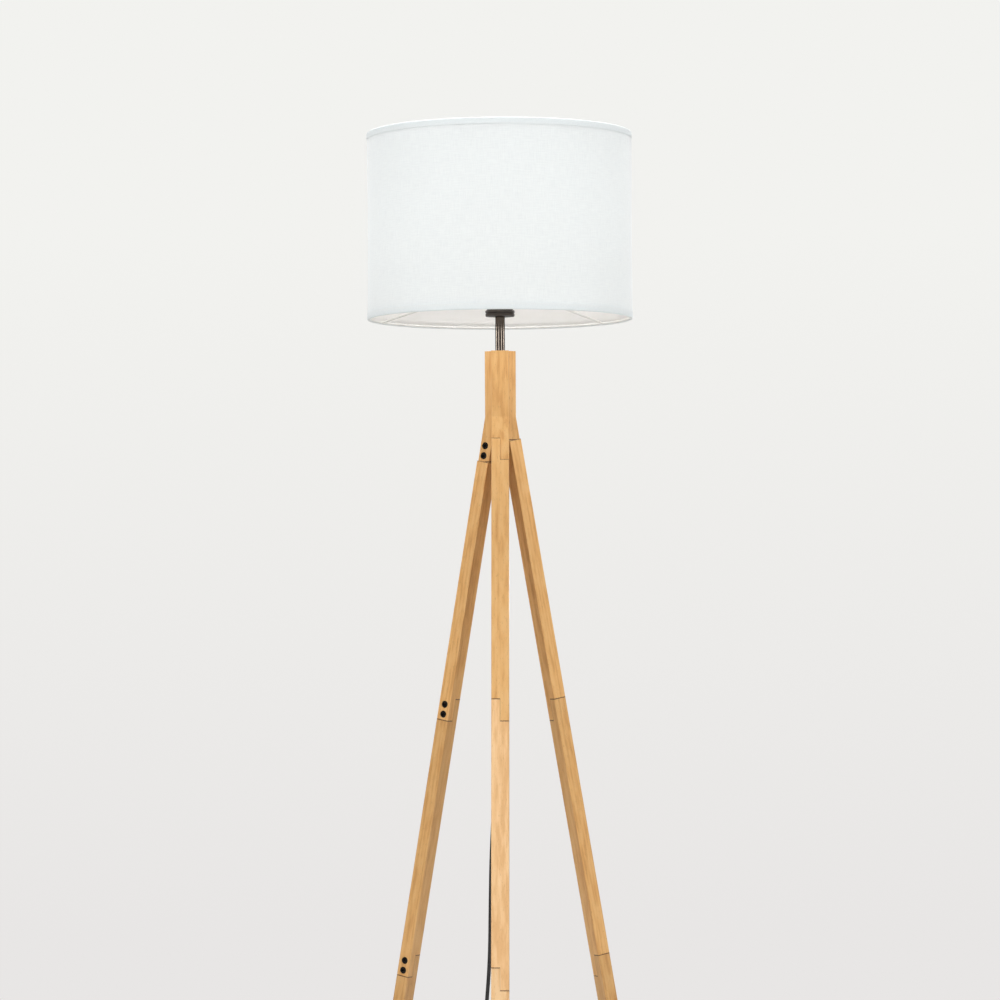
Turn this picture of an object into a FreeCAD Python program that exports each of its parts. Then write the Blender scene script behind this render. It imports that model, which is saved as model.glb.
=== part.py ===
"""Tripod floor lamp: a fabric drum shade over three bolted timber legs.

Frame: millimetres, +Z up. The origin is the point on the floor under the lamp's own axis. The front leg
points along -Y, the right leg to 30 degrees and the left leg to 150 degrees. Every driving size is a cell
of the sheet "Sizes"; every formula below is written in those cells' names.
"""
import FreeCAD, Part
import math
import os
import re
import Sketcher
from FreeCAD import Placement, Rotation, Vector

# name, value in millimetres or degrees, what it is
SIZES = [
    ("leg_width", 25.0, "leg timber, across the tangent"),
    ("leg_depth", 19.0, "leg timber, along the radius"),
    ("leg_tilt", 10.8, "lean of each leg from the vertical, degrees"),
    ("leg_pitch", 377.0, "from one lap joint to the next, along the leg"),
    ("lap_length", 31.5, "length of each half-lap tongue"),
    ("end_gap", 0.3, "open seam at the end of each tongue"),
    ("edge_round", 0.9, "rounded arrises of the timber"),
    ("corner_gap", 0.2, "room between the legs' inner corners at the top"),
    ("pad_height", 3.0, "rubber foot pad, thickness"),
    ("pad_inset", 1.5, "foot pad, inside the leg's outline"),
    ("stave_depth", 18.7, "from the lamp's axis to a stave's outer face"),
    ("arm_inset", 1.8, "stave's arm, inside the leg's outer face"),
    ("hub_drop", 127.0, "from the hub's top to the first lap joint"),
    ("bore_gap", 0.3, "hub's bore round the threaded tube, radial"),
    ("nut_room", 0.5, "hub's counterbore round the washer, radial"),
    ("nut_seat", 62.0, "depth of the nut's seat below the hub's top"),
    ("bolt_spacing", 14.4, "between the two bolts of a joint"),
    ("bolt_shank", 6.0, "M6 bolt"),
    ("bolt_head", 10.0, "socket head, diameter"),
    ("bolt_head_height", 6.0, "socket head, height"),
    ("bolt_short", 1.2, "bolt's end above the bottom of its insert"),
    ("bolt_key", 5.0, "hexagon key, across flats"),
    ("bolt_sink", 0.3, "head below the face of the timber"),
    ("bolt_clearance", 0.2, "round the shank and the head, radial"),
    ("insert_diameter", 8.5, "threaded insert in the lower timber"),
    ("insert_cover", 2.0, "timber left behind each insert"),
    ("thread_gap", 0.03, "drawn gap of a screwed fit, radial"),
    ("stem_diameter", 13.7, "stem sleeve"),
    ("stem_length", 50.0, "stem sleeve, length"),
    ("tube_diameter", 10.0, "M10 threaded tube"),
    ("cord_room", 0.8, "threaded tube's bore round the cord, radial"),
    ("slide_gap", 0.2, "round the threaded tube in plain bores, radial"),
    ("washer_rim", 0.9, "washer beyond the nut's corners"),
    ("washer_thickness", 1.5, "washer"),
    ("nut_flats", 14.0, "M10 nut, across flats"),
    ("nut_height", 5.0, "M10 nut"),
    ("tube_tail", 3.0, "threaded tube below the nut"),
    ("relief_length", 30.0, "tapered strain relief"),
    ("cord_diameter", 5.4, "round two-core cord"),
    ("plate_diameter", 42.0, "holder plate"),
    ("plate_height", 8.5, "holder plate"),
    ("plate_groove", 0.9, "groove round the plate's edge, depth and half width"),
    ("holder_room", 2.8, "between the screw shell and the holder's inner wall"),
    ("holder_wall", 2.0, "lampholder, wall"),
    ("holder_base_height", 24.0, "lampholder's lower half"),
    ("holder_floor", 3.0, "lampholder, floor of its lower half"),
    ("holder_overlap", 6.0, "upper half's sleeve inside the lower half"),
    ("boss_radius", 8.0, "lampholder's threaded boss"),
    ("boss_height", 9.0, "lampholder's threaded boss, from the plate"),
    ("lock_screw", 3.0, "lampholder's locking screw, diameter"),
    ("lock_height", 6.0, "lampholder's locking screw, above the plate"),
    ("holder_shoulder", 32.5, "shade's seat above the plate"),
    ("flange_ledge", 4.0, "lampholder's flange beyond its wall"),
    ("flange_height", 2.5, "lampholder's flange"),
    ("skirt_height", 23.5, "threaded skirt above the flange"),
    ("skirt_extra", 1.5, "threaded skirt, larger than the holder in diameter"),
    ("insert_height", 10.0, "ceramic insert"),
    ("terminal_spacing", 21.0, "between the terminal screws"),
    ("terminal_screw", 2.8, "terminal screw, diameter"),
    ("terminal_head", 4.8, "terminal screw, head"),
    ("wire_spacing", 13.0, "between the wires' holes in the insert"),
    ("wire_diameter", 1.8, "single insulated wire"),
    ("strap_width", 5.0, "contact strips"),
    ("strap_thickness", 0.5, "strip from a terminal to the screw shell"),
    ("tongue_thickness", 0.6, "centre contact's spring strip"),
    ("tongue_rise", 2.9, "centre contact's lift above the insert"),
    ("cap_gap", 0.5, "screw shell round the bulb's cap, radial"),
    ("shell_wall", 0.6, "screw shell"),
    ("shell_height", 19.0, "screw shell"),
    ("clamp_width", 7.0, "shade clamp ring, radial width"),
    ("clamp_height", 7.0, "shade clamp ring"),
    ("turn_gap", 0.2, "round a part that turns, radial"),
    ("face_gap", 0.1, "between flat faces that turn on each other"),
    ("cap_diameter", 26.2, "bulb's screw cap"),
    ("cap_height", 22.0, "bulb's screw cap"),
    ("bulb_diameter", 60.0, "bulb"),
    ("bulb_height", 108.0, "bulb, whole height"),
    ("bulb_wall", 1.2, "bulb, wall"),
    ("bulb_gap", 4.0, "bulb's contact above the insert"),
    ("insulator_height", 5.0, "bulb's insulator and contact, under the cap"),
    ("board_thickness", 1.6, "board of the light source"),
    ("diode_radius", 1.5, "light sources on the board"),
    ("shade_diameter", 380.0, "drum shade, outside of the cover"),
    ("shade_height", 267.5, "drum shade"),
    ("shade_wall", 0.8, "fabric on its stiff backing"),
    ("shade_drop", 4.7, "shade's lower edge below the plate's underside"),
    ("hem_width", 9.0, "hem tape, height of the band"),
    ("hem_tape", 0.35, "hem tape, thickness"),
    ("ring_wire", 3.6, "shade's wire rings"),
    ("arm_wire", 3.2, "spider's wire arms"),
    ("arm_angle", 38.0, "azimuth of the first spider arm, degrees"),
    ("fitter_width", 5.8, "fitter ring, radial width"),
    ("fitter_height", 1.6, "fitter ring, thickness"),
    ("switch_rim", 14.5, "foot switch beyond its button"),
    ("switch_height", 22.0, "foot switch without its button"),
    ("switch_split", 11.0, "height of the line between base and cover"),
    ("switch_wall", 2.0, "foot switch, wall"),
    ("button_diameter", 33.0, "button"),
    ("button_stand", 3.6, "button above the cover"),
    ("button_dish", 0.8, "hollow in the button's top"),
    ("button_rim", 1.9, "collar that keeps the button under the cover"),
    ("post_diameter", 6.4, "screw posts in the foot switch"),
    ("post_screw", 2.5, "foot switch's screws"),
    ("entry_height", 7.0, "cord's centre where it enters the switch"),
    ("entry_length", 20.0, "sleeve at each cord entry"),
    ("spring_diameter", 10.0, "button's spring, mean"),
    ("spring_wire", 0.9, "button's spring, wire"),
    ("spring_turns", 6.0, "button's spring, turns"),
    ("coil_diameter", 60.0, "coil of put-away cord, middle of its turns"),
    ("coil_width", 16.2, "coil's section, three turns wide"),
    ("coil_height", 10.2, "coil's section, two layers high"),
    ("tie_width", 12.0, "hook-and-loop tie"),
    ("tie_room", 1.1, "between the tie and the coil's inner turns"),
    ("tie_thickness", 1.0, "hook-and-loop tie"),
    ("plug_width", 35.0, "flat two-pin plug"),
    ("plug_depth", 36.0, "plug's body, along the pins"),
    ("plug_height", 13.6, "plug's body"),
    ("pin_diameter", 4.0, "plug's pins"),
    ("pin_length", 19.0, "plug's pins, outside the body"),
    ("pin_spacing", 18.6, "between the pins"),
    ("pin_root", 12.0, "plug's pins, inside the body"),
    ("plug_sleeve", 26.0, "plug's tapered strain relief"),
]

# Sizes that follow from the sheet, each as a formula.
DERIVED = {
    "section_length": "leg_pitch + lap_length",
    "seam_height": "pad_height + (3 * leg_pitch + lap_length) * cos(leg_tilt)",
    "hub_top": "seam_height + hub_drop",
    "wedge_reach": "leg_width / 2 / tan(60)",
    "insert_length": "leg_width / 2 - insert_cover",
    "bolt_length": "leg_width / 2 - bolt_sink - bolt_head_height + insert_length - bolt_short",
    "washer_diameter": "nut_flats / cos(30) + 2 * washer_rim",
    "hub_bore": "tube_diameter + 2 * bore_gap",
    "nut_bore": "washer_diameter + 2 * nut_room",
    "tube_bore": "cord_diameter + 2 * cord_room",
    "leg_radius": "wedge_reach + corner_gap + leg_depth / 2 / cos(leg_tilt)",
    "arm_out": "leg_depth / 2 - arm_inset",
    "arm_in": "arm_out - stave_depth * cos(leg_tilt)",
    "bend_run": "(stave_depth - leg_radius - arm_out * cos(leg_tilt)) / sin(leg_tilt)",
    "bend_height": "-hub_drop + arm_out * sin(leg_tilt) - bend_run * cos(leg_tilt)",
    "foot_radius": "leg_radius + (3 * leg_pitch + lap_length) * sin(leg_tilt)",
    "plate_bottom": "hub_top + stem_length",
    "plate_top": "plate_bottom + plate_height",
    "nut_face": "hub_top - nut_seat - washer_thickness",
    "tube_bottom": "nut_face - nut_height - tube_tail",
    "tube_top": "plate_top + boss_height",
    "relief_bottom": "tube_bottom - relief_length",
    "shell_bore": "cap_diameter + 2 * cap_gap",
    "base_inside": "shell_bore / 2 + shell_wall + holder_room",
    "holder_diameter": "2 * (base_inside + holder_wall)",
    "flange_diameter": "holder_diameter + 2 * flange_ledge",
    "skirt_radius": "(holder_diameter + skirt_extra) / 2",
    "skirt_inside": "base_inside - 1.1",
    "insert_bottom": "plate_top + holder_base_height",
    "insert_top": "insert_bottom + insert_height",
    "shell_bottom": "insert_top + strap_thickness",
    "bulb_bottom": "insert_top + bulb_gap",
    "shade_bottom": "plate_bottom - shade_drop",
    "shade_top": "shade_bottom + shade_height",
    "shade_inside": "shade_diameter / 2 - shade_wall",
    "ring_radius": "shade_inside - ring_wire / 2 - thread_gap",
    "fitter_bottom": "plate_top + holder_shoulder + face_gap",
    "fitter_inside": "skirt_radius + 2 * turn_gap",
    "clamp_bottom": "fitter_bottom + fitter_height + face_gap",
    "clamp_diameter": "2 * (skirt_radius + turn_gap + clamp_width)",
    "switch_diameter": "button_diameter + 2 * switch_rim",
    "post_radius": "button_diameter / 2 + 6.6",
}

AZIMUTHS = {"front": -90.0, "right": 30.0, "left": 150.0}
SECTIONS = ("upper", "middle", "lower")
FLOOR_CORD = 2.8        # height of the cord's centre where it lies on the floor
SWITCH_AT = (-8.0, 108.0)
COIL_AT = (62.0, -2.0)
TIE_ANGLE = -150.0
PLUG_AT = (-28.0, -96.0)
PLUG_TURN = 175.0

doc = FreeCAD.newDocument("tripod_floor_lamp")
sheet = doc.addObject("Spreadsheet::Sheet", "Sizes")
for row, (alias, number, note) in enumerate(SIZES, 1):
    sheet.set(f"A{row}", note)
    sheet.set(f"B{row}", str(number))
    sheet.setAlias(f"B{row}", alias)
doc.recompute()
ALIASES = {alias for alias, _, _ in SIZES}
nodes = {}


def bind(formula):
    """The formula in the document's words: cells get the sheet's name, derived sizes are written out."""
    def word(match):
        name = match[0]
        if name in ALIASES:
            return "Sizes." + name
        if name in DERIVED:
            return "(" + bind(DERIVED[name]) + ")"
        return name
    return re.sub(r"[a-z_][a-z_0-9]*", word, str(formula))


def value(formula):
    """The formula's number."""
    result = sheet.evalExpression(bind(formula))
    return float(getattr(result, "Value", result))


def new_body(label):
    """An empty body of the document, kept as a node under its label."""
    body = doc.addObject("PartDesign::Body", label)
    body.Label = label
    nodes[label] = body
    return body


def origin_item(body, role):
    """One of the body's own origin planes or axes."""
    return next(f for f in body.Origin.OriginFeatures if f.Role == role)


def new_sketch(body, role, lift=None):
    """A sketch on an origin plane, lifted along the plane's normal by a formula."""
    sketch = body.newObject("Sketcher::SketchObject", body.Label + "_sketch")
    sketch.AttachmentSupport = (origin_item(body, role), [""])
    sketch.MapMode = "FlatFace"
    if lift is not None:
        sketch.setExpression("AttachmentOffset.Base.z", bind(lift))
    return sketch


def pin_point(sketch, edge, end, point):
    """Ties a point of the sketch to two formulas, its distances from the sketch's origin."""
    for kind, formula in zip(("DistanceX", "DistanceY"), point):
        number = sketch.addConstraint(Sketcher.Constraint(kind, -1, 1, edge, end, value(formula)))
        sketch.setExpression(f"Constraints[{number}]", bind(formula))


def outline(sketch, points):
    """A closed outline. A point is (x, y), or (x, y, radius) where an arc leads on from it.

    A positive radius bulges to the right of the way to the next point, a negative one to the left.
    """
    first = sketch.GeometryCount
    corners = [Vector(value(p[0]), value(p[1]), 0) for p in points]
    for i, point in enumerate(points):
        start, end = corners[i], corners[(i + 1) % len(points)]
        if len(point) == 2:
            sketch.addGeometry(Part.LineSegment(start, end), False)
            continue
        radius = value(point[2])
        half = (end - start) * 0.5
        side = Vector(half.y, -half.x, 0).normalize() * (1 if radius > 0 else -1)
        rise = math.sqrt(max(radius * radius - half.Length ** 2, 0.0))
        centre = start + half - side * rise
        middle = centre + side * abs(radius)
        ends = (start, end) if radius > 0 else (end, start)
        sketch.addGeometry(Part.Arc(ends[0], middle, ends[1]), False)
    for i in range(len(points)):
        edge, following = first + i, first + (i + 1) % len(points)
        geometry = sketch.Geometry[edge]
        after = sketch.Geometry[following]
        end = 2 if geometry.EndPoint.isEqual(corners[(i + 1) % len(points)], 1e-6) else 1
        start = 1 if after.StartPoint.isEqual(corners[(i + 1) % len(points)], 1e-6) else 2
        sketch.addConstraint(Sketcher.Constraint("Coincident", edge, end, following, start))
        pin_point(sketch, following, start, points[(i + 1) % len(points)])
    for i, point in enumerate(points):
        if len(point) == 3:
            number = sketch.addConstraint(Sketcher.Constraint("Radius", first + i, abs(value(point[2]))))
            sketch.setExpression(f"Constraints[{number}]", bind(f"abs({point[2]})"))
    return sketch


def circles(sketch, centres, radius):
    """Equal circles at the given centres."""
    for centre in centres:
        middle = Vector(value(centre[0]), value(centre[1]), 0)
        edge = sketch.addGeometry(Part.Circle(middle, Vector(0, 0, 1), value(radius)), False)
        number = sketch.addConstraint(Sketcher.Constraint("Radius", edge, value(radius)))
        sketch.setExpression(f"Constraints[{number}]", bind(radius))
        pin_point(sketch, edge, 3, centre)
    return sketch


def pad(body, sketch, length, both=False, reverse=False):
    """Material of the sketch's shape, to one side or half to each side."""
    feature = body.newObject("PartDesign::Pad", body.Label + "_pad")
    feature.Profile = sketch
    feature.SideType = "Symmetric" if both else "One side"
    feature.Reversed = reverse
    feature.setExpression("Length", bind(length))
    return feature


def pocket(body, sketch, length, both=False, reverse=False):
    """A pocket of the sketch's shape, which has to take material away."""
    doc.recompute()
    before = body.Shape.Volume
    feature = body.newObject("PartDesign::Pocket", body.Label + "_pocket")
    feature.Profile = sketch
    feature.SideType = "Symmetric" if both else "One side"
    feature.Reversed = reverse
    feature.setExpression("Length", bind(length))
    doc.recompute()
    if body.Shape.Volume > before - 0.5:
        raise RuntimeError(f"{body.Label}: a pocket cut nothing")
    return feature


def turning(body, sketch, axis="V_Axis"):
    """Material turned once round an axis of the sketch."""
    feature = body.newObject("PartDesign::Revolution", body.Label + "_turning")
    feature.Profile = sketch
    feature.ReferenceAxis = (sketch, [axis])
    feature.Angle = 360.0
    return feature


def turned(label, points, height="0", at=("0", "0")):
    """A turned piece: a half section of (radius, height) points, set up at a height."""
    body = new_body(label)
    turning(body, outline(new_sketch(body, "XZ_Plane"), points))
    set_place(body, at[0], at[1], height)
    return body


def axis_line(sketch, start, end):
    """A construction line of the sketch, its Axis0, to turn a shape round."""
    ends = [Vector(value(x), value(y), 0) for x, y in (start, end)]
    line = sketch.addGeometry(Part.LineSegment(*ends), True)
    pin_point(sketch, line, 1, start)
    pin_point(sketch, line, 2, end)


def tube_points(inner, outer, low, high):
    """The half section of a plain tube or ring."""
    return [(inner, low), (outer, low), (outer, high), (inner, high)]


def set_place(item, x, y, z, turn=None):
    """Binds an object's place to formulas; turn is its rotation, set first."""
    item.Placement = Placement(Vector(value(x), value(y), value(z)), turn or Rotation())
    for letter, formula in zip("xyz", (x, y, z)):
        item.setExpression(f"Placement.Base.{letter}", bind(formula))


def round_edges(body, radius, wanted):
    """Rounds the edges of the body's tip for which wanted(edge) is true."""
    doc.recompute()
    base = body.Tip
    names = [f"Edge{i + 1}" for i, edge in enumerate(base.Shape.Edges) if wanted(edge)]
    if not names:
        raise RuntimeError(f"{body.Label}: no edge to round")
    feature = body.newObject("PartDesign::Fillet", body.Label + "_round")
    feature.Base = (base, names)
    feature.setExpression("Radius", bind(radius))
    doc.recompute()
    return feature


def hexagon(flats):
    """Corners of a hexagon by its size across flats."""
    corner = f"{flats} / 2 / cos(30)"
    return [(f"{corner} * cos({60 * i})", f"{corner} * sin({60 * i})") for i in range(6)]


def direction(edge):
    """The unit direction of a straight edge, or nothing."""
    if edge.Curve.TypeId != "Part::GeomLine":
        return None
    return (edge.Vertexes[-1].Point - edge.Vertexes[0].Point).normalize()


def upright(edge):
    """Whether an edge is straight and runs along the Z axis."""
    line = direction(edge)
    return line is not None and abs(line.z) > 0.99


def loose_node(label, shape):
    """A node whose shape is built directly rather than from sketches."""
    node = doc.addObject("Part::Feature", label)
    node.Label = label
    node.Shape = shape
    nodes[label] = node
    return node


# ---------------------------------------------------------------- legs and hub

def bolt_centres(x, z):
    """The two bolts of a lap whose tongue starts at (x, z) and runs down the local Z axis."""
    return [(x, f"{z} - lap_length / 2 + {sign} * bolt_spacing / 2") for sign in (1, -1)]


def head_holes(body, centres):
    """Clearance holes and counterbores in the tongue on the +Y side of a lap."""
    pocket(body, circles(new_sketch(body, "XZ_Plane"), centres, "bolt_shank / 2 + bolt_clearance"),
           "leg_width", reverse=False)
    seat = new_sketch(body, "XZ_Plane", "-(leg_width / 2 - bolt_head_height - bolt_sink)")
    pocket(body, circles(seat, centres, "bolt_head / 2 + bolt_clearance"), "leg_width", reverse=False)


def insert_holes(body, centres):
    """Blind holes for the threaded inserts in the tongue on the -Y side of a lap."""
    pocket(body, circles(new_sketch(body, "XZ_Plane"), centres, "insert_diameter / 2"),
           "insert_length", reverse=True)


def leg_place(azimuth, along):
    """The place of a leg section: local Z runs up the leg, local Y round the lamp, local X outwards."""
    turn = Rotation(Vector(0, 0, 1), azimuth) * Rotation(Vector(0, 1, 0), -value("leg_tilt"))
    radius = f"(leg_radius + {along} * sin(leg_tilt))"
    return (f"{radius} * cos({azimuth})", f"{radius} * sin({azimuth})",
            f"seam_height - {along} * cos(leg_tilt)", turn)


def leg_section(side, index):
    """One length of leg, with a tongue on the -Y side at its top and on the +Y side at its foot."""
    body = new_body(f"leg_{side}_{SECTIONS[index]}")
    last = index == len(SECTIONS) - 1
    half_depth, half_width = "leg_depth / 2", "leg_width / 2"
    blank = outline(new_sketch(body, "XY_Plane"), [
        (f"-{half_depth}", f"-{half_width}"), (half_depth, f"-{half_width}"),
        (half_depth, half_width), (f"-{half_depth}", half_width)])
    pad(body, blank, "section_length + leg_depth" if last else "section_length", reverse=True)
    round_edges(body, "edge_round", upright)
    top_cut = outline(new_sketch(body, "XY_Plane"), [
        ("-leg_depth", "0"), ("leg_depth", "0"), ("leg_depth", "leg_width"), ("-leg_depth", "leg_width")])
    pocket(body, top_cut, "lap_length + end_gap / 2")
    insert_holes(body, bolt_centres("0", "0"))
    if last:
        rise, below = "leg_depth * tan(leg_tilt)", "-section_length - 3 * leg_depth"
        foot = outline(new_sketch(body, "XZ_Plane"), [
            ("-leg_depth", f"-section_length + {rise}"), ("leg_depth", f"-section_length - {rise}"),
            ("leg_depth", below), ("-leg_depth", below)])
        pocket(body, foot, "2 * leg_width", both=True)
    else:
        foot_cut = outline(new_sketch(body, "XY_Plane", "-leg_pitch + end_gap / 2"), [
            ("-leg_depth", "-leg_width"), ("leg_depth", "-leg_width"), ("leg_depth", "0"),
            ("-leg_depth", "0")])
        pocket(body, foot_cut, "2 * lap_length")
        head_holes(body, bolt_centres("0", "-leg_pitch"))
    set_place(body, *leg_place(AZIMUTHS[side], f"({index} * leg_pitch)"))


def along_leg(out, down):
    """A point of a stave's own frame, by its distance out from the leg's middle and down the leg."""
    return (f"leg_radius + {out} * cos(leg_tilt) + {down} * sin(leg_tilt)",
            f"-hub_drop + {out} * sin(leg_tilt) - {down} * cos(leg_tilt)")


def hub_stave(side):
    """A third of the hub: a stick glued to its neighbours by its 120 degree point, with a leaning arm."""
    body = new_body(f"hub_stave_{side}")
    profile = outline(new_sketch(body, "XZ_Plane"), [
        ("0", "0"), ("stave_depth", "0"), ("stave_depth", "bend_height"),
        along_leg("arm_out", "lap_length"), along_leg("arm_in", "lap_length"), ("0", "bend_height")])
    pad(body, profile, "leg_width", both=True)
    doc.recompute()
    limit = value("stave_depth") - 1e-3

    def outer(edge):
        line = direction(edge)
        return line is not None and abs(line.y) < 0.1 and abs(line.z) > 0.9 and edge.CenterOfMass.x > limit
    round_edges(body, "edge_round", outer)
    reach = "(leg_width / 2 + 2)"
    sides = outline(new_sketch(body, "XY_Plane"), [
        ("0", "0"), (f"{reach} / tan(60)", reach), ("-2", reach), ("-2", f"-{reach}"),
        (f"{reach} / tan(60)", f"-{reach}")])
    pocket(body, sides, "2 * hub_drop")
    pocket(body, circles(new_sketch(body, "XY_Plane"), [("0", "0")], "hub_bore / 2"), "2 * hub_drop")
    nut_room = circles(new_sketch(body, "XY_Plane", "-nut_seat"), [("0", "0")], "nut_bore / 2")
    pocket(body, nut_room, "2 * hub_drop")
    lap_cut = outline(new_sketch(body, "XZ_Plane"), [
        along_leg("-2 * leg_depth", "(-end_gap / 2)"), along_leg("2 * leg_depth", "(-end_gap / 2)"),
        along_leg("2 * leg_depth", "(2 * lap_length)"), along_leg("-2 * leg_depth", "(2 * lap_length)")])
    pocket(body, lap_cut, "leg_width", reverse=True)
    head_holes(body, [along_leg("0", f"(lap_length / 2 + {sign} * bolt_spacing / 2)") for sign in (-1, 1)])
    set_place(body, "0", "0", "hub_top", Rotation(Vector(0, 0, 1), AZIMUTHS[side]))


def foot_pad(side):
    """A rubber pad under the level foot of a leg."""
    body = new_body(f"foot_pad_{side}")
    x, y = "(leg_depth / 2 / cos(leg_tilt) - pad_inset)", "(leg_width / 2 - pad_inset)"
    pad(body, outline(new_sketch(body, "XY_Plane"), [
        (f"-{x}", f"-{y}"), (x, f"-{y}"), (x, y), (f"-{x}", y)]), "pad_height")
    round_edges(body, "pad_inset", upright)
    azimuth = AZIMUTHS[side]
    set_place(body, f"foot_radius * cos({azimuth})", f"foot_radius * sin({azimuth})", "0",
              Rotation(Vector(0, 0, 1), azimuth))


def joint_places():
    """The place of each bolt, local Z along the bolt towards its head, local origin on the lap's face."""
    places = []
    for azimuth in AZIMUTHS.values():
        for index in range(len(SECTIONS)):
            for sign in (-1, 1):
                along = f"({index} * leg_pitch + lap_length / 2 + {sign} * bolt_spacing / 2)"
                x, y, z, turn = leg_place(azimuth, along)
                turn = turn * Rotation(Vector(1, 0, 0), -90)
                places.append(Placement(Vector(value(x), value(y), value(z)), turn))
    return places


def fasteners():
    """The eighteen bolts and their eighteen threaded inserts, one piece of each modelled and repeated."""
    bolt = doc.addObject("PartDesign::Body", "bolt_pattern")
    under = "(leg_width / 2 - bolt_sink - bolt_head_height)"
    top = "(leg_width / 2 - bolt_sink)"
    turning(bolt, outline(new_sketch(bolt, "XZ_Plane"), [
        ("0", f"{under} - bolt_length"), ("bolt_shank / 2 - 0.6", f"{under} - bolt_length"),
        ("bolt_shank / 2", f"{under} - bolt_length + 0.6"), ("bolt_shank / 2", under),
        ("bolt_head / 2", under), ("bolt_head / 2", f"{top} - 0.5"), ("bolt_head / 2 - 0.5", top),
        ("0", top)]))
    socket = outline(new_sketch(bolt, "XY_Plane", top), hexagon("bolt_key"))
    pocket(bolt, socket, "bolt_head_height / 2")
    insert = doc.addObject("PartDesign::Body", "insert_pattern")
    turning(insert, outline(new_sketch(insert, "XZ_Plane"), tube_points(
        "bolt_shank / 2 + thread_gap", "insert_diameter / 2", "-insert_length", "0")))
    doc.recompute()
    for label, pattern in (("leg_bolts", bolt), ("leg_inserts", insert)):
        copies = []
        for place in joint_places():
            copy = pattern.Tip.Shape.copy()
            copy.Placement = place * copy.Placement
            copies.append(copy)
        loose_node(label, Part.makeCompound(copies))


def build_stand():
    """Legs, hub, feet and their fasteners."""
    for side in AZIMUTHS:
        hub_stave(side)
        for index in range(len(SECTIONS)):
            leg_section(side, index)
        foot_pad(side)
    fasteners()


# ---------------------------------------------------------------- stem and lampholder

def build_stem():
    """The threaded tube that ties holder and hub together, its sleeve, washer, nut and strain relief."""
    bore, radius = "(tube_diameter / 2 + slide_gap)", "stem_diameter / 2"
    turned("stem_tube", tube_points(bore, radius, "0", "stem_length"), "hub_top")
    turned("threaded_tube", tube_points(
        "tube_bore / 2", "tube_diameter / 2", "0", "tube_top - tube_bottom"), "tube_bottom")
    turned("stem_washer", tube_points(bore, "washer_diameter / 2", "0", "washer_thickness"), "nut_face")
    nut = new_body("stem_nut")
    pad(nut, outline(new_sketch(nut, "XY_Plane"), hexagon("nut_flats")), "nut_height")
    pocket(nut, circles(new_sketch(nut, "XY_Plane"), [("0", "0")], "tube_diameter / 2 + thread_gap"),
           "nut_height", reverse=True)
    set_place(nut, "0", "0", "nut_face - nut_height")
    hole, neck = "(cord_diameter / 2 + thread_gap)", "(tube_bore / 2 - thread_gap)"
    turned("cord_relief", [
        (hole, "0"), ("cord_diameter / 2 + 0.9", "0"), ("tube_diameter / 2 - 0.4", "relief_length - 2"),
        ("tube_diameter / 2", "relief_length - 2"), ("tube_diameter / 2", "relief_length"),
        (neck, "relief_length"), (neck, "relief_length + 6"), (hole, "relief_length + 6")], "relief_bottom")
    turned("cord_in_stem", [
        ("0", "0"), ("cord_diameter / 2", "0"), ("cord_diameter / 2", "tube_top - relief_bottom - 1"),
        ("0", "tube_top - relief_bottom - 1")], "relief_bottom")


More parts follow.
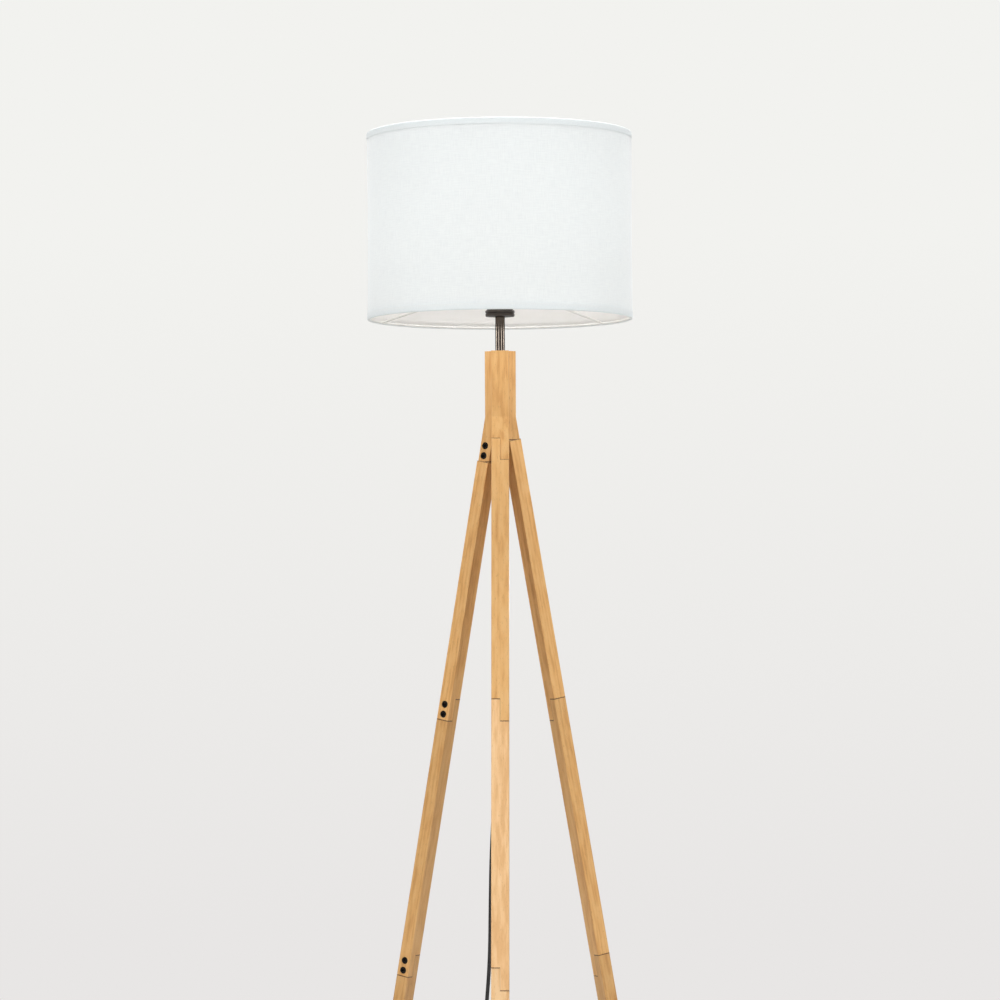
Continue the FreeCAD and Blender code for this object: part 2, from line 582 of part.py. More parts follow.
def build_holder():
    """The plate, the two-part lampholder and the live parts inside it."""
    plate, middle = "plate_diameter / 2", "plate_height / 2"
    turned("holder_plate", [
        ("tube_diameter / 2 + slide_gap", "0"), (f"{plate} - 0.6", "0"), (plate, "0.6"),
        (plate, f"{middle} - plate_groove"), (f"{plate} - plate_groove", middle),
        (plate, f"{middle} + plate_groove"), (plate, "plate_height - 0.6"),
        (f"{plate} - 0.6", "plate_height"), ("tube_diameter / 2 + slide_gap", "plate_height")],
        "plate_bottom")
    outer, thread = "holder_diameter / 2", "(tube_diameter / 2 + thread_gap)"
    base = turned("holder_base", [
        (thread, "0"), (f"{outer} - 1", "0"), (outer, "1"), (outer, "holder_base_height"),
        ("base_inside", "holder_base_height"), ("base_inside", "holder_floor"),
        ("boss_radius", "holder_floor"), ("boss_radius", "boss_height"), (thread, "boss_height")],
        "plate_top")
    screw_hole = circles(new_sketch(base, "YZ_Plane"), [("0", "lock_height")], "lock_screw / 2 + thread_gap")
    pocket(base, screw_hole, "boss_radius + 0.5", reverse=True)
    lock = new_body("holder_lock_screw")
    turning(lock, outline(new_sketch(lock, "XZ_Plane"), [
        ("0", "0"), ("lock_screw / 2 - 0.4", "0"), ("lock_screw / 2", "0.4"), ("lock_screw / 2", "4"),
        ("0", "4")]))
    set_place(lock, "tube_diameter / 2 + thread_gap", "0", "plate_top + lock_height",
              Rotation(Vector(0, 1, 0), 90))
    inner, shoulder = "(base_inside - 0.1)", "(holder_shoulder - flange_height)"
    turned("holder_body", [
        ("base_inside - 2.6", "holder_base_height - holder_overlap"),
        (inner, "holder_base_height - holder_overlap"), (inner, "holder_base_height"),
        (outer, "holder_base_height"), (outer, shoulder),
        ("flange_diameter / 2", shoulder), ("flange_diameter / 2", "holder_shoulder"),
        ("skirt_radius", "holder_shoulder"), ("skirt_radius", "holder_shoulder + skirt_height"),
        ("skirt_inside", "holder_shoulder + skirt_height"), ("skirt_inside", "holder_base_height"),
        ("base_inside - 2.6", "holder_base_height")], "plate_top")
    insert = turned("holder_insert", [
        ("0", "0"), ("skirt_inside - 0.1", "0"), ("skirt_inside - 0.1", "insert_height"),
        ("0", "insert_height")], "insert_bottom")
    for spacing, radius, depth in (("wire_spacing", "wire_diameter / 2 + 0.15", "insert_height"),
                                   ("terminal_spacing", "terminal_screw / 2 + thread_gap", "7")):
        pair = [(f"{spacing} / 2", "0"), (f"-{spacing} / 2", "0")]
        pocket(insert, circles(new_sketch(insert, "XY_Plane"), pair, radius), depth, reverse=True)
    shell = "(shell_bore / 2 + shell_wall)"
    turned("holder_shell", tube_points("shell_bore / 2", shell, "0", "shell_height"), "shell_bottom")
    strap, half = new_body("holder_strap"), "strap_width / 2"
    pad(strap, outline(new_sketch(strap, "XY_Plane"), [
        ("8.5", f"-{half}"), (shell, f"-{half}"), (shell, half), ("8.5", half)]), "strap_thickness")
    set_place(strap, "0", "0", "insert_top")
    tongue, thick, rise = new_body("holder_centre_contact"), "tongue_thickness", "tongue_rise"
    pad(tongue, outline(new_sketch(tongue, "XZ_Plane"), [
        ("-8", "0"), ("-3", "0"), ("0", rise), ("3", rise), ("3", f"{rise} + {thick}"),
        ("-0.3", f"{rise} + {thick}"), ("-3.3", thick), ("-8", thick)]), "strap_width", both=True)
    set_place(tongue, "0", "0", "insert_top")
    both, head_height, slot_width = [], 1.8, 0.8
    for x in (value("terminal_spacing / 2"), -value("terminal_spacing / 2")):
        shank = Part.makeCylinder(value("terminal_screw / 2"), 6.5, Vector(x, 0, 0))
        radius = value("terminal_head / 2")
        head = Part.makeCylinder(radius, head_height, Vector(x, 0, -head_height))
        slot = Part.makeBox(3 * radius, slot_width, slot_width,
                            Vector(x - 1.5 * radius, -slot_width / 2, -head_height))
        both.append(shank.fuse(head).removeSplitter().cut(slot))
    set_place(loose_node("terminal_screws", Part.makeCompound(both)), "0", "0", "insert_bottom")
    turned("shade_clamp_ring", [
        ("skirt_radius + turn_gap", "0"), ("clamp_diameter / 2 - 0.8", "0"), ("clamp_diameter / 2", "0.8"),
        ("clamp_diameter / 2", "clamp_height - 1.2"), ("clamp_diameter / 2 - 1.2", "clamp_height"),
        ("skirt_radius + turn_gap", "clamp_height")], "clamp_bottom")


def build_bulb():
    """A screw-cap LED bulb: contact, insulator, cap, housing, board and frosted globe."""
    cap, wide = "cap_diameter / 2", "bulb_diameter / 2"
    foot, rim = "insulator_height", "(bulb_height - bulb_diameter * 0.72)"
    neck = f"({foot} + cap_height)"
    turned("bulb_contact", [("0", "0"), ("3.6", "0"), ("4.6", "0.8"), ("4.6", "1.6"), ("0", "1.6")],
           "bulb_bottom")
    turned("bulb_insulator", [("0", "1.6"), ("5.5", "1.6"), (f"{cap} - 2", foot), ("0", foot)],
           "bulb_bottom")
    turned("bulb_cap", [
        (f"{cap} - 0.5", f"{foot} + 1.8"), (f"{cap} - 2.5", f"{foot} + 0.4"), (f"{cap} - 2.5", foot),
        (f"{cap} - 2", foot), (cap, f"{foot} + 1.4"), (cap, neck), (f"{cap} - 0.5", neck)], "bulb_bottom")
    turned("bulb_housing", [
        (f"{cap} - 2.2", f"{foot} + 3"), (f"{cap} - 0.6", f"{foot} + 3"), (f"{cap} - 0.6", neck),
        (f"{cap} + 1", neck), (f"{wide} - 1", rim), (f"{wide} - 3", rim), (f"{cap} - 1", f"{neck} + 2"),
        (f"{cap} - 2.2", neck)], "bulb_bottom")
    board = turned("bulb_board", [
        ("0", "0"), (f"{wide} - 5", "0"), (f"{wide} - 5", "board_thickness"), ("0", "board_thickness")],
        f"bulb_bottom + {rim} + 0.1")
    lift = new_sketch(board, "XY_Plane", "board_thickness")
    out = "bulb_diameter / 3.4"
    ring = [(f"{out} * cos({45 * i})", f"{out} * sin({45 * i})") for i in range(8)]
    pad(board, circles(lift, ring, "diode_radius"), "0.7")
    low = f"({rim} + 0.05)"
    inside = f"({wide} - bulb_wall)"
    turned("bulb_globe", [
        (inside, low), (wide, low), (wide, f"bulb_height - {wide}", wide), ("0", "bulb_height"),
        ("0", "bulb_height - bulb_wall", f"-{inside}"), (inside, f"bulb_height - {wide}")], "bulb_bottom")


# ---------------------------------------------------------------- shade

def build_shade():
    """The fabric cover, its hem tapes, the upper ring and the welded spider with the lower ring."""
    outer = "shade_diameter / 2"
    turned("shade_cover", tube_points("shade_inside", outer, "hem_tape", "shade_height - hem_tape"),
           "shade_bottom")
    wire, inner = "ring_wire / 2", "(ring_radius - ring_wire / 2 - thread_gap)"
    for label, base, sign in (("shade_hem_bottom", "shade_bottom", 1), ("shade_hem_top", "shade_top", -1)):
        turned(label, [
            (f"{outer} + hem_tape", "0"), (f"{outer} + hem_tape", f"{sign} * hem_width"),
            (outer, f"{sign} * hem_width"), (outer, f"{sign} * hem_tape"), (inner, f"{sign} * hem_tape"),
            (inner, f"{sign} * 2 * hem_tape"), (f"{inner} - hem_tape", f"{sign} * 2 * hem_tape"),
            (f"{inner} - hem_tape", "0")], base)
    ring_level = "(hem_tape + thread_gap + ring_wire / 2)"
    top = new_body("shade_ring_top")
    turning(top, circles(new_sketch(top, "XZ_Plane"), [("ring_radius", "0")], wire))
    set_place(top, "0", "0", f"shade_top - {ring_level}")

    spider = new_body("shade_spider")
    turning(spider, circles(new_sketch(spider, "XZ_Plane"), [("ring_radius", ring_level)], wire))
    seat = "(fitter_bottom - shade_bottom)"
    turning(spider, outline(new_sketch(spider, "XZ_Plane"), tube_points(
        "fitter_inside", "fitter_inside + fitter_width", seat, f"{seat} + fitter_height")))
    # each arm is a bent rod: it leaves the fitter level and runs straight down to the lower ring
    start_x = "(fitter_inside + fitter_width - 1.2)"
    start_z = f"({seat} + fitter_height - arm_wire / 2 - 0.15)"
    end_x, end_z = "ring_radius", ring_level
    run = f"sqrt(({end_x} - {start_x}) ^ 2 + ({start_z} - {end_z}) ^ 2)"
    across = f"(arm_wire / 2 * ({start_z} - {end_z}) / {run})"
    up = f"(arm_wire / 2 * ({end_x} - {start_x}) / {run})"
    sketch = new_sketch(spider, "XZ_Plane")
    outline(sketch, [(start_x, start_z), (end_x, end_z), (f"{end_x} + {across}", f"{end_z} + {up}"),
                     (f"{start_x} + {across}", f"{start_z} + {up}")])
    axis_line(sketch, (start_x, start_z), (end_x, end_z))
    arm = turning(spider, sketch, "Axis0")
    pattern = spider.newObject("PartDesign::PolarPattern", "shade_spider_arms")
    pattern.Originals = [arm]
    pattern.Axis = (origin_item(spider, "Z_Axis"), [""])
    pattern.Angle = 360.0
    pattern.Occurrences = 3
    spider.Tip = pattern
    set_place(spider, "0", "0", "shade_bottom", Rotation(Vector(0, 0, 1), value("arm_angle")))


# ---------------------------------------------------------------- foot switch and plug

def sleeve(body, points, lift):
    """Material turned round a line parallel to the local X axis at a height."""
    sketch = new_sketch(body, "XZ_Plane")
    outline(sketch, points)
    axis_line(sketch, (points[0][0], lift), (points[1][0], lift))
    return turning(body, sketch, "Axis0")


def build_switch():
    """An in-line foot switch: base, cover, sprung button, contacts and screws."""
    outer, wall = "switch_diameter / 2", "switch_wall"
    x, y = (str(c) for c in SWITCH_AT)
    inside = f"({outer} - {wall})"
    posts = [("0", "post_radius"), ("0", "-post_radius")]
    base = turned("switch_base", [
        ("0", "0"), (f"{outer} - 1", "0"), (outer, "1"), (outer, "switch_split"), (inside, "switch_split"),
        (inside, wall), ("0", wall)], at=(x, y))
    for sign in (1, -1):
        root, tip = f"{sign} * ({outer} - 1)", f"{sign} * ({outer} + entry_length)"
        sleeve(base, [
            (root, "entry_height"), (tip, "entry_height"), (tip, "entry_height + cord_diameter / 2 + 1"),
            (root, "entry_height + cord_diameter / 2 + 1.2")], "entry_height")
        bore = new_sketch(base, "YZ_Plane", f"{sign} * ({outer} - 2 * {wall})")
        pocket(base, circles(bore, [("0", "entry_height")], "cord_diameter / 2 + thread_gap"),
               "entry_length + 3 * switch_wall", reverse=sign > 0)
    pad(base, circles(new_sketch(base, "XY_Plane", f"{wall} / 2"), posts, "post_diameter / 2"),
        f"switch_split - {wall} / 2")
    for radius, depth in (("post_screw / 2 + 0.35", "switch_split"), ("3", "1.8")):
        pocket(base, circles(new_sketch(base, "XY_Plane"), posts, radius), depth, reverse=True)
    hole = "(button_diameter / 2 + turn_gap * 2)"
    roof = "(switch_height - switch_wall)"
    cover = turned("switch_cover", [
        (inside, "switch_split"), (outer, "switch_split"), (f"{outer} - 1.2", "switch_height - 5"),
        (f"{outer} - 6", "switch_height - 1"), (f"{outer} - 10", "switch_height"), (hole, "switch_height"),
        (hole, roof), (f"{outer} - 10.5", roof), (f"{inside} - 5.2", "switch_height - 3.2"),
        (f"{inside} - 1.4", "switch_height - 6")], at=(x, y))
    pad(cover, circles(new_sketch(cover, "XY_Plane", "switch_split"), posts, "post_diameter / 2"),
        "switch_height - 3 - switch_split")
    pocket(cover, circles(new_sketch(cover, "XY_Plane", "switch_split"), posts, "post_screw / 2 + thread_gap"),
           "5.5", reverse=True)
    button, top = "button_diameter / 2", "(switch_height + button_stand)"
    rim, collar, under = f"({roof} - 0.6)", f"{button} + button_rim", f"({top} - button_dish - 2)"
    turned("switch_button", [
        (f"{button} - 2", f"{rim} - 1.6"), (collar, f"{rim} - 1.6"), (collar, rim), (button, rim),
        (button, f"{top} - 1.5"), (f"{button} - 1.5", top), ("0", f"{top} - button_dish"), ("0", under),
        (f"{button} - 2", under)], at=(x, y))
    free = value(f"{under} - {wall} - spring_wire - 0.05")
    coil = value("spring_diameter / 2")
    helix = Part.makeHelix(free / value("spring_turns"), free, coil)
    section = Part.Wire(Part.makeCircle(value("spring_wire / 2"), Vector(coil, 0, 0), Vector(0, 1, 0)))
    spring = loose_node("switch_spring", Part.Wire(helix).makePipeShell([section], True, True))
    set_place(spring, x, y, f"{wall} + spring_wire / 2 + 0.02")
    long, width, thickness = 9.0, value("strap_width"), value("tongue_thickness")
    strips = [Part.makeBox(long, width, thickness, Vector(start, -width / 2, 0))
              for start in (8.5, -8.5 - long)]
    set_place(loose_node("switch_contacts", Part.makeCompound(strips)), x, y, wall)
    pair, low = [], 0.4
    for post in posts:
        foot = Vector(0, value(post[1]), low)
        shank = Part.makeCylinder(value("post_screw / 2"), value("switch_split - 0.4 + 4.8"), foot)
        pair.append(shank.fuse(Part.makeCylinder(2.8, 1.4, foot)).removeSplitter())
    set_place(loose_node("switch_screws", Part.makeCompound(pair)), x, y, "0")


def build_plug():
    """A flat two-pin plug with its moulded strain relief; local X runs out along the pins."""
    wide, deep = "plug_width / 2", "plug_depth"
    turn = Rotation(Vector(0, 0, 1), PLUG_TURN)
    x, y = (str(c) for c in PLUG_AT)
    body = new_body("plug_body")
    shape = [("0", f"-{wide} + 3"), ("0", f"{wide} - 3"), ("-3", wide), (f"-0.45 * {deep}", wide),
             (f"-{deep} + 3", "6"), (f"-{deep}", "4"), (f"-{deep}", "-4"), (f"-{deep} + 3", "-6"),
             (f"-0.45 * {deep}", f"-{wide}"), ("-3", f"-{wide}")]
    pad(body, outline(new_sketch(body, "XY_Plane"), shape), "plug_height")
    round_edges(body, "1.5", lambda e: direction(e) is not None and abs(direction(e).z) < 0.1)
    middle = "plug_height / 2"
    start, end = f"-{deep} + 2", f"-{deep} - plug_sleeve"
    sleeve(body, [(start, middle), (end, middle), (end, f"{middle} + cord_diameter / 2 + 0.8"),
                  (start, f"{middle} + cord_diameter / 2 + 1.9")], middle)
    bore = new_sketch(body, "YZ_Plane", end)
    pocket(body, circles(bore, [("0", middle)], "cord_diameter / 2 + thread_gap"), "22", reverse=True)
    roots = new_sketch(body, "YZ_Plane")
    centres = [("pin_spacing / 2", middle), ("-pin_spacing / 2", middle)]
    pocket(body, circles(roots, centres, "pin_diameter / 2"), "pin_root", reverse=False)
    set_place(body, x, y, "0", turn)
    pair, radius = [], value("pin_diameter / 2")
    straight = value("pin_root + pin_length") - radius
    for sign in (1, -1):
        root = Vector(-value("pin_root"), sign * value("pin_spacing / 2"), value(middle))
        pin = Part.makeCylinder(radius, straight, root, Vector(1, 0, 0))
        pair.append(pin.fuse(Part.makeSphere(radius, root + Vector(straight, 0, 0))).removeSplitter())
    set_place(loose_node("plug_pins", Part.makeCompound(pair)), x, y, "0", turn)


# ---------------------------------------------------------------- cord

def cord_path(points):
    """Straight runs joined by tangent arcs as large as each pair of runs allows, and the arcs' radii."""
    edges, radii = [], []
    here = points[0]
    for before, corner, after in zip(points, points[1:], points[2:]):
        come, leave = (corner - before), (after - corner)
        turn = come.getAngle(leave)
        short = min(come.Length, leave.Length)
        radius = 0.45 * short / math.tan(turn / 2)
        into, out = come.normalize(), leave.normalize()
        start, end = corner - into * (0.45 * short), corner + out * (0.45 * short)
        inward = (out - into).normalize()
        centre = corner + inward * (radius / math.cos(turn / 2))
        middle = centre - inward * radius
        edges.append(Part.LineSegment(here, start).toShape())
        edges.append(Part.Arc(start, middle, end).toShape())
        radii.append(radius)
        here = end
    edges.append(Part.LineSegment(here, points[-1]).toShape())
    return Part.Wire(edges), radii


def cord_tube(label, points, radius):
    """A plain tube along a cord's route; its volume is compared with its section times its length."""
    wire, radii = cord_path([Vector(*p) for p in points])
    start = wire.Edges[0]
    heading = start.tangentAt(start.FirstParameter)
    section = Part.Wire(Part.makeCircle(radius, Vector(*points[0]), heading))
    tube = wire.makePipeShell([section], True, False)
    expected = math.pi * radius ** 2 * wire.Length
    print(f"{label}: length {wire.Length:.0f} mm, tightest radii "
          f"{[round(r) for r in sorted(radii)[:4]]}, volume over expected {tube.Volume / expected:.4f}")
    if abs(tube.Volume / expected - 1) > 0.01:
        raise RuntimeError(f"{label}: its volume is off")
    return loose_node(label, tube)


def build_cord():
    """The free cord: down from the hub, through the foot switch, into the coil and on to the plug."""
    radius = value("cord_diameter / 2")
    exit_height = value("relief_bottom")
    floor = FLOOR_CORD
    entry = value("entry_height")
    reach = value("switch_diameter / 2 + entry_length - 8")
    sx, sy = SWITCH_AT
    # the long fall drifts a little to the left, then the cord lies down and curls back to the switch
    fall = [(x, y, exit_height - down) for x, y, down in (
        (0, 0, 0), (0, 0, 60), (0.2, 1.6, 135), (-1.6, 2.6, 215), (-3.0, 5.0, 296), (-6.6, 5.4, 376),
        (-8.4, 8.0, 455), (-11.6, 8.2, 535), (-16.6, 10.4, 612), (-18.4, 10.8, 690), (-19.6, 13.2, 768),
        (-25.6, 13.6, 844), (-31.0, 11.6, 918), (-40.5, 13.4, 988))]
    lie = [(-50.6, 13.0, 118), (-62.0, 13.6, 62), (-76.5, 13.2, 24), (-99, 17.5, 5.2), (-126, 27.5, floor),
           (-143.0, 46.5, floor), (-147.5, 71, floor), (-137.0, 93.5, floor), (-116.5, 106.0, 3.4),
           (-90, sy - 0.6, 5.2), (sx - reach - 16, sy, entry), (sx - reach, sy, entry)]
    cord_tube("cord_drop", fall + lie, radius)
    cx, cy = COIL_AT
    mid, lift = value("coil_diameter / 2"), value("tie_thickness")
    low = radius + lift
    cord_tube("cord_link", [
        (sx + reach, sy, entry), (sx + reach + 14, sy, entry), (sx + reach + 28, sy - 3.2, 5.2),
        (sx + reach + 43.5, sy - 13.0, 3.6), (sx + reach + 53.0, sy - 28, low - 0.4),
        (cx + mid + 5.6, cy + 56, low), (cx + mid + 5.2, cy + 34, low), (cx + mid + 5.4, cy + 14, low)],
        radius)
    px, py = PLUG_AT
    heading = math.radians(PLUG_TURN)
    back, level = value("plug_depth") + 18, value("plug_height / 2")
    end, before = [(px - far * math.cos(heading), py - far * math.sin(heading), level)
                   for far in (back, back + 20)]
    cord_tube("cord_tail", [
        (cx + mid + 5.2, cy - 15, low), (cx + mid + 4.4, cy - 32, low - 0.2),
        (cx + mid + 0.6, cy - 50, floor), (cx + mid - 6.5, cy - 67.5, floor),
        (cx + mid - 18, cy - 82.5, 3.0), (cx + mid - 31.5, cy - 94.5, 4.8), before, end], radius)
    coil = new_body("cord_coil")
    turning(coil, outline(new_sketch(coil, "XZ_Plane"), [
        ("(coil_diameter - coil_width) / 2", "1"), ("(coil_diameter - coil_width) / 2 + 1", "0"),
        ("(coil_diameter + coil_width) / 2 - 1", "0"), ("(coil_diameter + coil_width) / 2", "1"),
        ("(coil_diameter + coil_width) / 2", "coil_height - 2"),
        ("(coil_diameter + coil_width) / 2 - 2", "coil_height"),
        ("(coil_diameter - coil_width) / 2 + 2", "coil_height"),
        ("(coil_diameter - coil_width) / 2", "coil_height - 2")]))
    set_place(coil, str(cx), str(cy), "tie_thickness")
    tie = new_body("coil_tie")
    inner = "(coil_diameter / 2 - coil_width / 2 - tie_room)"
    outer = "(coil_diameter / 2 + coil_width / 2 + 0.1)"
    top = "(coil_height + tie_thickness + 0.1)"
    pad(tie, outline(new_sketch(tie, "XZ_Plane"), [
        (f"{inner} - tie_thickness", "0"), (f"{outer} + tie_thickness", "0"),
        (f"{outer} + tie_thickness", f"{top} + tie_thickness"),
        (f"{inner} - tie_thickness", f"{top} + tie_thickness")]), "tie_width", both=True)
    room = outline(new_sketch(tie, "XZ_Plane"), [
        (inner, "tie_thickness"), (outer, "tie_thickness"), (outer, top), (inner, top)])
    pocket(tie, room, "2 * tie_width", both=True)
    set_place(tie, str(cx), str(cy), "0", Rotation(Vector(0, 0, 1), TIE_ANGLE))
    pair, apart = [], value("wire_spacing / 2")
    top, ceramic = value("tube_top - 1"), value("insert_bottom")
    for sign in (1, -1):
        route = [Vector(sign * x, 0, z) for x, z in (
            (1.3, top), (1.3, top + 3), (apart, ceramic - 5), (apart, ceramic + 5))]
        wire, _ = cord_path(route)
        first = wire.Edges[0]
        ring = Part.makeCircle(value("wire_diameter / 2"), route[0], first.tangentAt(first.FirstParameter))
        pair.append(wire.makePipeShell([Part.Wire(ring)], True, False))
    loose_node("holder_wires", Part.makeCompound(pair))


def check_and_export():
    """Stops on any failed object or bad shape, then writes one STEP file for each node."""
    doc.recompute()
    bad = [o.Name for o in doc.Objects if {"Invalid", "Error"} & set(o.State)]
    if bad:
        raise RuntimeError(f"failed objects: {bad}")
    for label, item in nodes.items():
        if item.Shape.isNull() or not item.Shape.isValid() or not item.Shape.Solids:
            raise RuntimeError(f"{label}: its shape is not good")
    os.makedirs("parts", exist_ok=True)
    for label, item in nodes.items():
        item.Shape.exportStep(f"parts/{label}.step")
    told = ("hub_top", "shade_bottom", "shade_top", "foot_radius", "bend_height")
    print(f"{len(nodes)} nodes;", ", ".join(f"{name} {value(name):.1f}" for name in told))


build_stand()
build_stem()
build_holder()
build_bulb()
build_shade()
build_switch()
build_plug()
build_cord()
check_and_export()
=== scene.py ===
"""Looks of a tripod floor lamp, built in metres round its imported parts.

The lamp stands on the floor at the origin with +Z up. The front leg points along -Y, the other two
to 30 and 150 degrees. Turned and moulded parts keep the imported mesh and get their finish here; the
cloth of the shade, its hem tapes, the cord, its coil and tie, the switch's spring, the fluted clamp
ring, the thread of the lampholder and the ribbed strain relief are new meshes.
"""

from __future__ import annotations

import logging
import math
from collections.abc import Callable, Sequence
from dataclasses import dataclass, field
from enum import Enum
from typing import Any

import bmesh
import bpy
import numpy as np
from mathutils import Matrix, Vector


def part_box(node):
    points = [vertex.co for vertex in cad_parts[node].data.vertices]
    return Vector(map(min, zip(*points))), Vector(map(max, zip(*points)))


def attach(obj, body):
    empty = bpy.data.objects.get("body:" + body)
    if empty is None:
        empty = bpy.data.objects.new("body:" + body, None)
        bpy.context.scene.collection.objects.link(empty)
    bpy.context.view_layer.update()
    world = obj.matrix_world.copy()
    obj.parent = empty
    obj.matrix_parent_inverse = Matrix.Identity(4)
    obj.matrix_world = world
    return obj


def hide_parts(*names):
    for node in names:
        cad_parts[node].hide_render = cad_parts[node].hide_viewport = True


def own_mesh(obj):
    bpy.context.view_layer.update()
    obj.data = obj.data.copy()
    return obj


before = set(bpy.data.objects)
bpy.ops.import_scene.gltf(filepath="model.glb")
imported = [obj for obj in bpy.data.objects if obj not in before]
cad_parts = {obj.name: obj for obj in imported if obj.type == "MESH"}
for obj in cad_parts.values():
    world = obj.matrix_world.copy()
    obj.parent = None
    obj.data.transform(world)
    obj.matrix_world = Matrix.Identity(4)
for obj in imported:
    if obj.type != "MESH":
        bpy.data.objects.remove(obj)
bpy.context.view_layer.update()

LOG = logging.getLogger("floor_lamp")
MM = 0.001
TURN = 2.0 * math.pi
Array = np.ndarray


class Body(str, Enum):
    """Bodies of the lamp that pieces ride on."""

    STAND = "stand"
    SHADE = "shade"
    CLAMP_RING = "clamp_ring"
    BULB = "bulb"
    BUTTON = "button"


class Side(Enum):
    """The three legs, each with its azimuth in degrees."""

    FRONT = -90.0
    RIGHT = 30.0
    LEFT = 150.0


class Board(Enum):
    """Boards that the timber is cut from: colours of early, middle and late wood."""

    HONEY = ("E2B375", "DDAA69", "CF995A")
    PALE = ("EAC494", "E5BA86", "D9AA74")


class Section(Enum):
    """The lengths that each leg is screwed together from."""

    UPPER = "upper"
    MIDDLE = "middle"
    LOWER = "lower"


class Lustre(Enum):
    """How far a plated surface was polished, as its roughness."""

    POLISHED = 0.16
    SATIN = 0.34


# ------------------------------------------------------------------ shader helpers


def linear(code: str, tone: float = 1.0) -> tuple[float, float, float, float]:
    """Turns an sRGB colour into the linear one that the shaders use.

    Args:
        code: Six hex digits, red, green and blue.
        tone: Factor on the linear colour, for a piece that is lighter or darker than its fellows.

    Returns:
        Linear red, green and blue, at most 1, and full alpha.
    """
    parts = np.array([int(code[i : i + 2], 16) for i in (0, 2, 4)]) / 255.0
    curved = ((parts + 0.055) / 1.055) ** 2.4
    shades = np.minimum(np.where(parts <= 0.04045, parts / 12.92, curved) * tone, 1.0)
    return (*(float(x) for x in shades), 1.0)


def add(tree: bpy.types.NodeTree, kind: str, inputs: dict[Any, Any], **settings: Any) -> Any:
    """Adds a node to a material.

    Args:
        tree: The material's node tree.
        kind: The node's type, without its ShaderNode prefix.
        inputs: Values for the node's sockets by name or number; a socket given here is linked.
        **settings: Properties of the node; a list of (place, colour) pairs named stops fills a ramp.

    Returns:
        The new node.
    """
    node = tree.nodes.new("ShaderNode" + kind)
    stops = settings.pop("stops", [])
    for name, value in settings.items():
        setattr(node, name, value)
    for key, value in inputs.items():
        if isinstance(value, bpy.types.NodeSocket):
            tree.links.new(value, node.inputs[key])
        else:
            node.inputs[key].default_value = value
    for number, (place, colour) in enumerate(stops):
        elements = node.color_ramp.elements
        stop = elements[number] if number < 2 else elements.new(place)
        stop.position, stop.color = place, colour
    return node


def sizes(*millimetres: float) -> tuple[float, ...]:
    """Scales that make one unit of a pattern as long as each given size in millimetres."""
    return tuple(1.0 / (size * MM) for size in millimetres)


@dataclass(frozen=True)
class Finish:
    """A surface of one real material; subclasses add what their own pattern needs."""

    name: str

    def material(self) -> bpy.types.Material:
        """Makes the material, or finds the one that was made before.

        Returns:
            A material with one Principled surface, dressed by the finish.
        """
        known = bpy.data.materials.get(self.name)
        if known:
            return known
        made = bpy.data.materials.new(self.name)
        made.use_nodes = True
        tree = made.node_tree
        tree.nodes.clear()
        surface = add(tree, "BsdfPrincipled", {})
        add(tree, "OutputMaterial", {"Surface": surface.outputs["BSDF"]})
        self.dress(tree, surface)
        return made

    def dress(self, tree: bpy.types.NodeTree, surface: Any) -> None:
        """Adds the finish's own nodes in front of the Principled surface.

        Args:
            tree: The material's node tree.
            surface: Its Principled surface.
        """
        raise NotImplementedError


@dataclass(frozen=True)
class Lap:
    """Where a leg's open seams lie, measured along the leg from its uppermost one."""

    top: float
    pitch: float = 377.0 * MM
    length: float = 31.5 * MM
    laps: int = 3
    line: float = 1.4 * MM  # the real seam is 0.3 mm open, too fine to show, so its painted shade is drawn this wide
